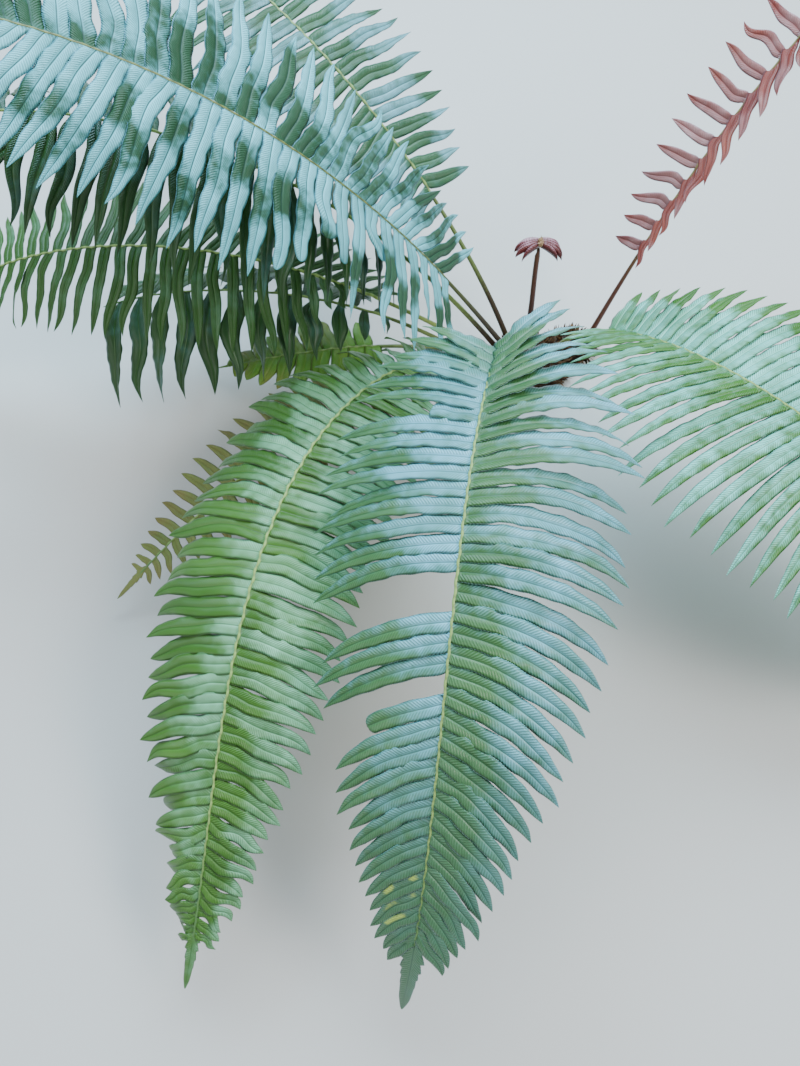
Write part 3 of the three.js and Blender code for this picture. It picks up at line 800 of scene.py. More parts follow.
class Piece:
    """Makes finished mesh objects and hands them to the frame."""

    @staticmethod
    def link(name: str, data: bpy.types.ID) -> bpy.types.Object:
        """A new object of a mesh, lamp or camera in the scene."""
        item = bpy.data.objects.new(name, data)
        bpy.context.scene.collection.objects.link(item)
        return item

    @staticmethod
    def mark(mesh: bpy.types.Mesh, name: str, kind: str, key: str, values: np.ndarray) -> None:
        """Stores one attribute on a mesh's points."""
        store = mesh.attributes.new(name, kind, "POINT")
        store.data.foreach_set(key, values.astype(np.float32).ravel())

    @staticmethod
    def mesh(
        name: str, points: np.ndarray, faces: np.ndarray, marks: dict[Patch, np.ndarray]
    ) -> bpy.types.Object:
        """A mesh object in metres with vector attributes.

        Args:
            name: Name of the piece.
            points: Vertices in millimetres.
            faces: Triangles.
            marks: Vector attributes by name.

        Returns:
            The linked object.
        """
        mesh = bpy.data.meshes.new(name)
        mesh.vertices.add(len(points))
        mesh.vertices.foreach_set("co", (points * MM).astype(np.float32).ravel())
        mesh.loops.add(faces.size)
        mesh.loops.foreach_set("vertex_index", faces.astype(np.int32).ravel())
        mesh.polygons.add(len(faces))
        mesh.polygons.foreach_set("loop_start", np.arange(0, faces.size, 3, dtype=np.int32))
        mesh.polygons.foreach_set("use_smooth", np.ones(len(faces), bool))
        for patch, values in marks.items():
            Piece.mark(mesh, patch.value, "FLOAT_VECTOR", "vector", values)
        mesh.update(calc_edges=True)
        mesh.validate()
        return Piece.link(name, mesh)

    @staticmethod
    def baked(item: bpy.types.Object, name: str) -> bpy.types.Object:
        """The item's modifiers turned into a plain mesh on a new object.

        Args:
            item: Object with live modifiers, which is removed.
            name: Name of the new piece.

        Returns:
            The plain mesh object.
        """
        graph = bpy.context.evaluated_depsgraph_get()
        mesh = bpy.data.meshes.new_from_object(item.evaluated_get(graph), depsgraph=graph)
        mesh.name = name
        source = item.data
        bpy.data.objects.remove(item)
        bpy.data.meshes.remove(source)
        return Piece.link(name, mesh)

    @staticmethod
    def hand_over(item: bpy.types.Object, slot: str, *nodes: str) -> None:
        """Rides the piece on the body and hides the parts that it stands for."""
        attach(item, "root")
        if nodes:
            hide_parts(*nodes)
        LOG.info("%s: %d faces", item.name, len(item.data.polygons))


@dataclass(frozen=True)
class Signal:
    """A value that nodes work out, with the usual signs for sums."""

    tree: "Tree"
    socket: bpy.types.NodeSocket

    def __add__(self, other: object) -> "Signal":
        """The sum of two values."""
        return self.tree.math("ADD", self, other)

    def __sub__(self, other: object) -> "Signal":
        """This value less another."""
        return self.tree.math("SUBTRACT", self, other)

    def __rsub__(self, other: float) -> "Signal":
        """A number less this value."""
        return self.tree.math("SUBTRACT", other, self)

    def __mul__(self, other: object) -> "Signal":
        """The product of two values."""
        return self.tree.math("MULTIPLY", self, other)


class Tree:
    """A node tree under construction, with short calls for its nodes."""

    def __init__(self, tree: bpy.types.NodeTree) -> None:
        """Takes hold of the tree."""
        self.nodes, self.links = tree.nodes, tree.links

    def put(self, socket: bpy.types.NodeSocket, value: object) -> None:
        """Links a signal, socket or node's first output to an input, or sets the input."""
        if isinstance(value, Signal):
            value = value.socket
        elif isinstance(value, bpy.types.Node):
            value = value.outputs[0]
        if isinstance(value, bpy.types.NodeSocket):
            self.links.new(value, socket)
        else:
            socket.default_value = value

    def node(self, kind: str, settings: dict | None = None, **inputs: object) -> bpy.types.Node:
        """Adds a node, sets its properties and links or sets its inputs.

        Args:
            kind: Node type.
            settings: Properties of the node.
            **inputs: Inputs by name, with underscores for spaces, or i0, i1 ... by place.

        Returns:
            The node.
        """
        made = self.nodes.new(kind)
        for key, value in (settings or {}).items():
            setattr(made, key, value)
        for key, value in inputs.items():
            numbered = key[0] == "i" and key[1:].isdigit()
            self.put(made.inputs[int(key[1:]) if numbered else key.replace("_", " ")], value)
        return made

    def math(self, operation: str, a: object, b: object = 0.0) -> Signal:
        """A number worked out from two others."""
        return Signal(self, self.node("ShaderNodeMath", {"operation": operation}, i0=a, i1=b).outputs[0])

    def split(self, value: object) -> tuple[Signal, ...]:
        """The three numbers of a vector."""
        return tuple(Signal(self, out) for out in self.node("ShaderNodeSeparateXYZ", i0=value).outputs)

    def vector(self, operation: str, **inputs: object) -> bpy.types.Node:
        """A vector worked out from others."""
        return self.node("ShaderNodeVectorMath", {"operation": operation}, **inputs)


class Recipe(Tree):
    """A geometry node tree with named inputs."""

    def __init__(self, name: str) -> None:
        """Opens an empty tree with a geometry input and output."""
        self.group = bpy.data.node_groups.new(name, "GeometryNodeTree")
        super().__init__(self.group)
        for way in ("INPUT", "OUTPUT"):
            self.group.interface.new_socket("Geometry", in_out=way, socket_type="NodeSocketGeometry")
        self.start = self.nodes.new("NodeGroupInput")
        self.end = self.nodes.new("NodeGroupOutput")
        self.keys: dict[str, str] = {}

    def size(self, name: str, kind: str) -> Signal:
        """Adds a named input and gives its value inside the tree."""
        made = self.group.interface.new_socket(name, in_out="INPUT", socket_type=f"NodeSocket{kind}")
        self.keys[name] = made.identifier
        return Signal(self, self.start.outputs[name])

    def close(self, geometry: bpy.types.Node, material: Signal) -> None:
        """Ends the tree with realized instances in one material."""
        real = self.node("GeometryNodeRealizeInstances", Geometry=geometry)
        self.put(self.end.inputs[0], self.node("GeometryNodeSetMaterial", Geometry=real, Material=material))

    def apply(self, item: bpy.types.Object, name: str, values: dict[str, object]) -> bpy.types.Object:
        """Puts the tree on an object and bakes it.

        Args:
            item: The object, which is removed.
            name: Name of the new piece.
            values: The tree's inputs by name.

        Returns:
            The plain mesh object.
        """
        modifier = item.modifiers.new(self.group.name, "NODES")
        modifier.node_group = self.group
        for key, value in values.items():
            modifier[self.keys[key]] = value
        return Piece.baked(item, name)


class StalkRecipe(Recipe):
    """Sweeps a grooved round section along a line of points."""

    SIDES = 12
    GROOVE_POWER = 6.0

    def __init__(self) -> None:
        """Builds the tree."""
        super().__init__("stalk_sweep")
        groove = self.size("Groove", "Float")
        bark = self.size("Material", "Material")
        curve = self.node("GeometryNodeMeshToCurve", Mesh=self.start)
        girth = self.node("GeometryNodeInputNamedAttribute", {"data_type": "FLOAT"}, Name="girth")
        level = self.node("GeometryNodeSetCurveNormal", {"mode": "Z_UP"}, Curve=curve)
        ring = self.node("GeometryNodeCurvePrimitiveCircle", Resolution=self.SIDES, Radius=1.0)
        place = self.node("GeometryNodeInputPosition")
        upper = self.math("MAXIMUM", self.split(place)[1], 0.0)
        pinch = 1.0 - groove * self.math("POWER", upper, self.GROOVE_POWER)
        shaped = self.vector("SCALE", i0=place, Scale=pinch)
        section = self.node("GeometryNodeSetPosition", Geometry=ring, Position=shaped)
        swept = self.node("GeometryNodeCurveToMesh", Curve=level, Profile_Curve=section, Scale=girth,
                          Fill_Caps=True)
        self.close(self.node("GeometryNodeSetShadeSmooth", Geometry=swept), bark)

    def sweep(self, name: str, line: np.ndarray, radius: np.ndarray, marks: tuple, groove: float,
              material: bpy.types.Material) -> bpy.types.Object:
        """A stalk along a line of points.

        Args:
            name: Name of the piece.
            line: Points in millimetres.
            radius: Radius at each point, in millimetres.
            marks: Share along the stalk and swelling at each point.
            groove: Depth of the groove as a share of the radius.
            material: Its finish.

        Returns:
            The plain mesh object.
        """
        mesh = bpy.data.meshes.new("stalk_line")
        mesh.from_pydata((line * MM).tolist(), [(i, i + 1) for i in range(len(line) - 1)], [])
        Piece.mark(mesh, "girth", "FLOAT", "value", radius * MM)
        values = np.stack([*marks, marks[0] * 0], -1)
        Piece.mark(mesh, Patch.STALK.value, "FLOAT_VECTOR", "vector", values)
        item = Piece.link("stalk_line", mesh)
        return self.apply(item, name, {"Groove": groove, "Material": material})


class ScaleRecipe(Recipe):
    """Strews pointed scales over a surface, tilted up from it."""

    SLIMMING = 1.15
    THICKNESS = 0.14
    BOW = 0.16
    SMALLEST = 0.6
    LARGEST = 1.3

    def __init__(self) -> None:
        """Builds the tree."""
        super().__init__("scale_coat")
        density, length, width, rise, spread = (
            self.size(name, "Float") for name in ("Density", "Length", "Width", "Rise", "Spread")
        )
        seed = self.size("Seed", "Int")
        chaff = self.size("Material", "Material")
        dots = self.node("GeometryNodeDistributePointsOnFaces", Mesh=self.start, Density=density, Seed=seed)
        ball = self.node("GeometryNodeMeshUVSphere", Segments=6, Rings=5, Radius=0.5)
        side, depth, up = self.split(self.node("GeometryNodeInputPosition"))
        height = up + 0.5
        across = side * (self.SLIMMING - height) * width
        bow = height * height * (length * self.BOW)
        moved = self.node("ShaderNodeCombineXYZ", X=across, Y=depth * self.THICKNESS * width + bow,
                          Z=height * length)
        scale = self.node("GeometryNodeSetPosition", Geometry=ball, Position=moved)
        lift = self.node("ShaderNodeCombineXYZ", Z=rise)
        drift = self.chance("FLOAT_VECTOR", Seed=seed, i0=(-1.0, -1.0, -1.0), i1=(1.0, 1.0, 1.0))
        loose = self.vector("SCALE", i0=drift, Scale=spread)
        lean = self.vector("ADD", i0=self.vector("ADD", i0=dots.outputs["Normal"], i1=lift), i1=loose)
        turned = self.node("FunctionNodeAlignRotationToVector", {"axis": "Z"}, Vector=lean)
        grown = self.chance("FLOAT", Seed=seed, i2=self.SMALLEST, i3=self.LARGEST)
        spun = self.chance("FLOAT", Seed=seed, i3=FULL_TURN)
        spin = self.node("FunctionNodeAxisAngleToRotation", Axis=(0.0, 0.0, 1.0), Angle=spun.outputs[1])
        both = self.node("FunctionNodeRotateRotation", {"rotation_space": "LOCAL"}, i0=turned, i1=spin)
        strewn = self.node("GeometryNodeInstanceOnPoints", Points=dots, Instance=scale, Rotation=both,
                           Scale=grown.outputs[1])
        self.close(strewn, chaff)

    def chance(self, kind: str, **inputs: object) -> bpy.types.Node:
        """Random values; vectors come out first and numbers second."""
        return self.node("FunctionNodeRandomValue", {"data_type": kind}, **inputs)

    def coat(self, seat: bpy.types.Object, name: str, sizes: tuple[float, ...], seed: int,
             material: bpy.types.Material) -> bpy.types.Object:
        """A coat of scales.

        Args:
            seat: The surface they stand on, which is removed.
            name: Name of the piece.
            sizes: Scales in a square metre, their length and width in metres, rise and spread.
            seed: Start of their scatter.
            material: Their finish.

        Returns:
            The plain mesh object.
        """
        values = dict(zip(("Density", "Length", "Width", "Rise", "Spread"), sizes))
        return self.apply(seat, name, {**values, "Seed": seed, "Material": material})


class Shades(Tree):
    """A material under construction."""

    def __init__(self, name: str) -> None:
        """Opens a material with its shader."""
        self.material = bpy.data.materials.new(name)
        self.material.use_nodes = True
        super().__init__(self.material.node_tree)
        self.shader = self.nodes["Principled BSDF"]

    def ramp(self, value: object, low: float, high: float, to_low: float = 0.0, to_high: float = 1.0
             ) -> Signal:
        """A smooth step of a value between two bounds."""
        made = self.node("ShaderNodeMapRange", {"interpolation_type": "SMOOTHSTEP"}, Value=value,
                         From_Min=low, From_Max=high, To_Min=to_low, To_Max=to_high)
        return Signal(self, made.outputs[0])

    def mix(self, share: object, a: object, b: object) -> Signal:
        """A colour between two colours."""
        made = self.node("ShaderNodeMix", {"data_type": "RGBA"}, i0=share)
        for place, value in ((6, a), (7, b)):
            self.put(made.inputs[place], (*value, 1.0) if isinstance(value, tuple) else value)
        return Signal(self, made.outputs[2])

    def noise(self, scale: float, detail: float = 3.0) -> Signal:
        """Noise over the object's own coordinates."""
        place = self.node("ShaderNodeTexCoord").outputs["Object"]
        made = self.node("ShaderNodeTexNoise", Vector=place, Scale=scale, Detail=detail)
        return Signal(self, made.outputs[0])

    def patch(self, patch: Patch) -> tuple[Signal, ...]:
        """The three numbers of a vector attribute."""
        return self.split(self.node("ShaderNodeAttribute", {"attribute_name": patch.value}).outputs["Vector"])

    def finish(
        self, colour: object, roughness: object, height: object, depth: float, **fixed: float
    ) -> bpy.types.Material:
        """Links colour, roughness and bump, and sets the fixed numbers.

        Args:
            colour: Base colour.
            roughness: Number or signal.
            height: Bump height.
            depth: Bump distance in metres.
            **fixed: Numbers for the shader, with underscores for spaces.

        Returns:
            The material.
        """
        bump = self.node("ShaderNodeBump", Height=height, Distance=depth, Strength=1.0)
        values = {"Base Color": colour, "Roughness": roughness, "Normal": bump, **fixed}
        for key, value in values.items():
            self.put(self.shader.inputs[key.replace("_", " ")], value)
        return self.material


def shaded(colour: tuple[float, ...], by: float) -> tuple[float, ...]:
    """A colour made darker or lighter."""
    return tuple(min(c * by, 1.0) for c in colour)


def leaf_material(look: LeafFinish) -> bpy.types.Material:
    """Leathery leaflet: herringbone veins, sunken midrib, pale margin and painted sheen.

    Args:
        look: Its colours and gloss.

    Returns:
        The material.
    """
    s = Shades(look.name)
    v, along, half = s.patch(Patch.LEAF)
    tone, under, share = s.patch(Patch.KIND)
    # The first number is the amount of painted sheen.
    painted_sheen, yellow, blade = s.patch(Patch.SHEEN)
    size = s.math("ABSOLUTE", v)
    slant = (along - size * half * VEIN_SLANT) * (2 * math.pi / look.vein_gap)
    clear = s.ramp(size, 0.08, 0.22)
    vein = (s.math("SINE", slant + s.noise(150.0, 1.0) * 2.2) + 1.0) * 0.5 * clear
    midrib = s.ramp(size, 0.02, 0.09, 1.0, 0.0)
    margin = s.ramp(size, 0.90, 0.99)
    cloud = s.ramp(s.noise(11.0, 4.0), 0.36, 0.66)
    body = s.mix(cloud * 0.6 + tone * 0.4, look.low, look.high)
    patchy = s.ramp(s.noise(19.0, 3.0), 0.36, 0.62, look.evenness, 1.0)
    ragged = (s.noise(75.0, 3.0) - 0.5) * look.ragged
    # One half of each leaflet gets more painted sheen than the other, as if it faced the sky.
    painted_sheen = s.ramp(painted_sheen + v * -look.half_sheen + ragged, 0.06, 0.92)
    if look.shade_foot:
        shady = s.ramp(blade, 0.40, 0.80, look.shade_foot, 0.0)
        body = s.mix(shady, body, shaded(look.low, 0.35))
        painted_sheen = painted_sheen * (1.0 - shady * 0.5)
    # Less painted sheen near the rib on the leaflets at the foot of the blade.
    if look.foot_sheen_cut:
        less_sheen = s.ramp(blade, 0.0, 0.2, 1.0, 0.0) * s.ramp(share, 0.25, 0.7, 1.0, 0.0)
        painted_sheen = painted_sheen * (1.0 - less_sheen * look.foot_sheen_cut)
    if look.shade_tip:
        dusk = s.ramp(blade, 0.5, 0.9, 0.0, look.shade_tip)
        body = s.mix(dusk, body, look.tip)
        painted_sheen = painted_sheen * (1.0 - dusk * 0.85)
    # The patchy painted sheen is mixed into the base colour.
    body = s.mix(painted_sheen * patchy * look.sheen_share, body, look.painted_sheen)
    # Painted shade: the low furrows between the vein ridges are darkened with a darker copy of the leaflet's
    # colour.
    furrow = (1.0 - vein) * (clear * look.vein_share)
    body = s.mix(furrow, body, shaded(look.low, 0.6))
    body = s.mix(midrib * look.rib_share, body, look.midrib)
    body = s.mix(margin * 0.65, body, look.margin)
    turned = yellow * s.ramp(s.noise(48.0, 3.0), 0.42, 0.56, 0.0, 0.9)
    body = s.mix(turned, body, YELLOW_PATCH)
    body = s.mix(under * 0.85, body, look.under)
    if look.fade:
        worn = s.ramp(s.noise(17.0, 5.0), 0.42, 0.62) * s.ramp(share, 0.25, 1.0, 0.4, 1.0)
        body = s.mix(worn * look.fade, body, WORN_BROWN)
    fleck = s.noise(420.0, 2.0)
    height = vein * look.vein_depth - midrib * 0.3 + fleck * 0.15
    return s.finish(body, fleck * 0.16 + (look.roughness - 0.06), height, 0.0010,
                    Specular_IOR_Level=look.specular, Coat_Weight=look.gloss, Coat_Roughness=0.3)


def stalk_material(look: StalkFinish) -> bpy.types.Material:
    """Round stalk: dark foot, paler towards the tip, with fine lengthwise streaks.

    Args:
        look: Its colours and gloss.

    Returns:
        The material.
    """
    s = Shades(look.name)
    along, swell, _ = s.patch(Patch.STALK)
    streak = s.noise(210.0, 3.0)
    body = s.mix(s.ramp(along, look.foot_share, 1.0), look.upper, look.tip)
    edge = along + (streak - 0.5) * 0.08
    body = s.mix(s.ramp(edge, look.foot_share * 0.35, look.foot_share, 1.0, 0.0), body, look.foot)
    body = s.mix(s.ramp(streak, 0.45, 0.75, 0.0, 0.35), body, shaded(look.upper, 0.5))
    body = s.mix(swell * 0.6, body, shaded(look.tip, 2.1))
    body = s.mix(s.ramp(along, 0.78, 0.93), body, look.leafy)
    return s.finish(body, look.roughness, streak, 0.0004, Specular_IOR_Level=0.5)


def chaff_material(name: str, dark: tuple, pale: tuple) -> bpy.types.Material:
    """Dry papery scales in two browns."""
    s = Shades(name)
    body = s.mix(s.ramp(s.noise(140.0, 2.0), 0.4, 0.62), dark, pale)
    return s.finish(body, 0.62, s.noise(900.0, 2.0), 0.0003, Specular_IOR_Level=0.35)


GROWTHS = (
    Growth("short_old", 190, 1, -14, 36, -21, 0.85, 420, 0.42, 9, 70, 0, 40, 15, foot=70, foot_z=20,
           foot_turn=-11, base_share=0.7, crowd=1, sag_near=0.6, sag_far=0.6, tail=30),
    Growth("low_dark", 184, -5, -7, 49, -30, 1.2, 610, 0.3, 12, 150, -8, -14, -10, foot=70, foot_z=20,
           foot_turn=9, base_share=0.15, peak=0.75, taper=8, crowd=1, skew=-15, sag_near=0.9,
           sag_far=0.9, tail=10),
    Growth("faded", 204, 33, -20, 41, -32, 0.85, 680, 0.3, 18, 92, -5, 18, 15, foot=64, foot_z=20,
           foot_turn=8, fill=0.62, sag_near=0.6),
    Growth("left_under", 183, -3.5, 3.3, 42, -75, 1.65, 1044, 0.203, 45, 122, -45, 62, 14, foot=58,
           foot_z=38, foot_turn=6, peak=0.25, taper=2, fill=0.76, skew=-16, lift=-5, sag_near=0.9,
           sag_far=0.2, bank=-10, bank_tip=-10, split=2),
    Growth("under_top", 182, -6, 8, 57, -37, 1.6, 1005, 0.26, 32, 155, -20, 45, 10, foot=48, foot_z=42,
           foot_turn=-6, peak=0.35, taper=1.6, lift=-10, sag_near=0.6, split=2),
    Growth("back_left", 141, -8, -2, 58, -35, 1, 1160, 0.2, 40, 150, -18, 50, 15, fill=0.84, lift=4,
           sag_far=0.25, split=2),
    Growth("left_top", 183, 0, 20, 58, -29, 1.75, 1225, 0.145, 47, 166, -32, 72, 22, foot=38,
           foot_z=52, base_share=0.65, taper=1.7, skew=-9, lift=4, sag_near=0.4, sag_far=0.15,
           bank=-14, bank_tip=-8, split=2,
           bites_left=((2, 0.65), (6, 0.45), (8, 0.6), (9, 0.5), (10, 0.75), (11, 0.85))),
    Growth("young_red", 38, -3, -12, 69, 18, 1.5, 740, 0.2, 21, 68, -42, -15, 12, foot=0, foot_z=30,
           foot_x=100, foot_y=40, base_share=0.6, peak=0.4, fill=0.62, skew=-28, lift=20, sag_near=0.1,
           sag_far=0.5, tail=50),
    Growth("front_centre", 240, 51, -35, 93, -59, 0.7, 1095, 0.29, 36, 180, -34, 58, 26, foot=52,
           foot_z=48, peak=0.25, crowd=1, skew=2, lift=4, lift_foot=30, sag_near=0.5, bank=26,
           bank_tip=12, tail=128, split=2,
           bites_right=((6, 0.35), (16, 0.0), (17, 0.0), (21, 0.0), (22, 0.6))),
    Growth("right", -55, 20, 7, 99, -55, 0.6, 935, 0.2, 45, 198, -34, 61, 22, foot=42, foot_z=48,
           base_share=0.32, peak=0.42, taper=1.4, skew=-22, lift=4, lift_foot=15, sag_near=0.15,
           sag_far=0.2, split=2),
    Growth("front_left", 202, 119, -68, 43, -40, 1, 1040, 0.14, 42, 138, -28, 28, 24, foot=54,
           foot_z=44, foot_turn=6, taper=1.9, sag_near=0.36, sag_far=0.36, tail=75, split=2),
)

GREEN = LeafFinish("leaf_green", "frond_green", (0.038, 0.130, 0.011), (0.082, 0.235, 0.027),
                   (0.30, 0.72, 0.46), (0.015, 0.07, 0.01), (0.24, 0.46, 0.18), (0.09, 0.20, 0.05))
FRESH = LeafFinish("leaf_teal", "frond_green", (0.038, 0.135, 0.036), (0.082, 0.23, 0.075),
                   (0.27, 0.74, 0.98), (0.015, 0.07, 0.03), (0.26, 0.56, 0.52), (0.09, 0.20, 0.07),
                   vein_share=0.46, vein_gap=3.3, half_sheen=0.24, shade_tip=1.0, foot_sheen_cut=0.75)
BLUISH = LeafFinish("leaf_blue_dark", "frond_green", (0.024, 0.10, 0.036), (0.05, 0.16, 0.065),
                    (0.26, 0.62, 0.76), (0.02, 0.07, 0.03), (0.26, 0.50, 0.46), (0.08, 0.18, 0.06))
DEEP = LeafFinish("leaf_dark", "frond_dark", (0.010, 0.050, 0.007), (0.024, 0.10, 0.014),
                  (0.10, 0.26, 0.26), (0.04, 0.11, 0.02), (0.08, 0.19, 0.06), (0.05, 0.12, 0.03))
MINT = LeafFinish("leaf_mint", "frond_blue_green", (0.035, 0.16, 0.014), (0.08, 0.27, 0.032),
                  (0.32, 0.98, 0.90), (0.02, 0.10, 0.03), (0.30, 0.62, 0.40), (0.12, 0.27, 0.08),
                  sheen_share=0.92, ragged=1.3, vein_share=0.55, vein_gap=3.0, half_sheen=0.3, foot_sheen_cut=0.6)
SILVER = LeafFinish("leaf_silver", "frond_blue_green", (0.025, 0.09, 0.040), (0.055, 0.15, 0.08),
                    (0.28, 0.86, 1.0), (0.012, 0.05, 0.035), (0.34, 0.78, 0.95), (0.09, 0.20, 0.07),
                    sheen_share=0.97, roughness=0.4, gloss=0.0, rib_share=0.85, ragged=1.3, specular=0.2,
                    half_sheen=0.16, shade_foot=0.24, evenness=0.72)
BRIGHT = LeafFinish("leaf_bright", "frond_pale", (0.07, 0.22, 0.008), (0.16, 0.38, 0.02),
                    (0.24, 0.40, 0.16), (0.16, 0.25, 0.05), (0.35, 0.42, 0.16), (0.16, 0.26, 0.07),
                    sheen_share=0.15, fade=0.5)
YOUNG = LeafFinish("leaf_light", "frond_green", (0.055, 0.205, 0.020), (0.11, 0.32, 0.042),
                   (0.20, 0.48, 0.32), (0.06, 0.20, 0.03), (0.20, 0.40, 0.12), (0.09, 0.20, 0.05),
                   shade_foot=0.93)
FADED = LeafFinish("leaf_faded", "frond_faded", (0.13, 0.18, 0.03), (0.24, 0.27, 0.06),
                   (0.40, 0.40, 0.24), (0.16, 0.12, 0.04), (0.25, 0.20, 0.08), (0.20, 0.19, 0.07),
                   sheen_share=0.1, fade=0.4, roughness=0.6)
COPPER = LeafFinish("leaf_copper", "frond_red", (0.22, 0.028, 0.022), (0.36, 0.085, 0.055),
                    (0.46, 0.27, 0.28), (0.20, 0.05, 0.05), (0.72, 0.42, 0.55), (0.36, 0.11, 0.08),
                    sheen_share=0.9, roughness=0.28, vein_share=0.2)

STRAW = StalkFinish("stalk_straw", "stem", (0.07, 0.035, 0.018), (0.22, 0.29, 0.07), (0.19, 0.29, 0.08))
MOSSY = StalkFinish("stalk_mossy", "stem", (0.045, 0.028, 0.014), (0.085, 0.095, 0.024), (0.12, 0.15, 0.038))
OLIVE = StalkFinish("stalk_olive", "stem", (0.05, 0.028, 0.014), (0.14, 0.19, 0.05), (0.18, 0.27, 0.08))
RUSSET = StalkFinish("stalk_russet", "stem_young", (0.10, 0.028, 0.014), (0.17, 0.13, 0.04),
                     (0.20, 0.17, 0.05), foot_share=0.3, roughness=0.3, leafy=(0.16, 0.16, 0.05))


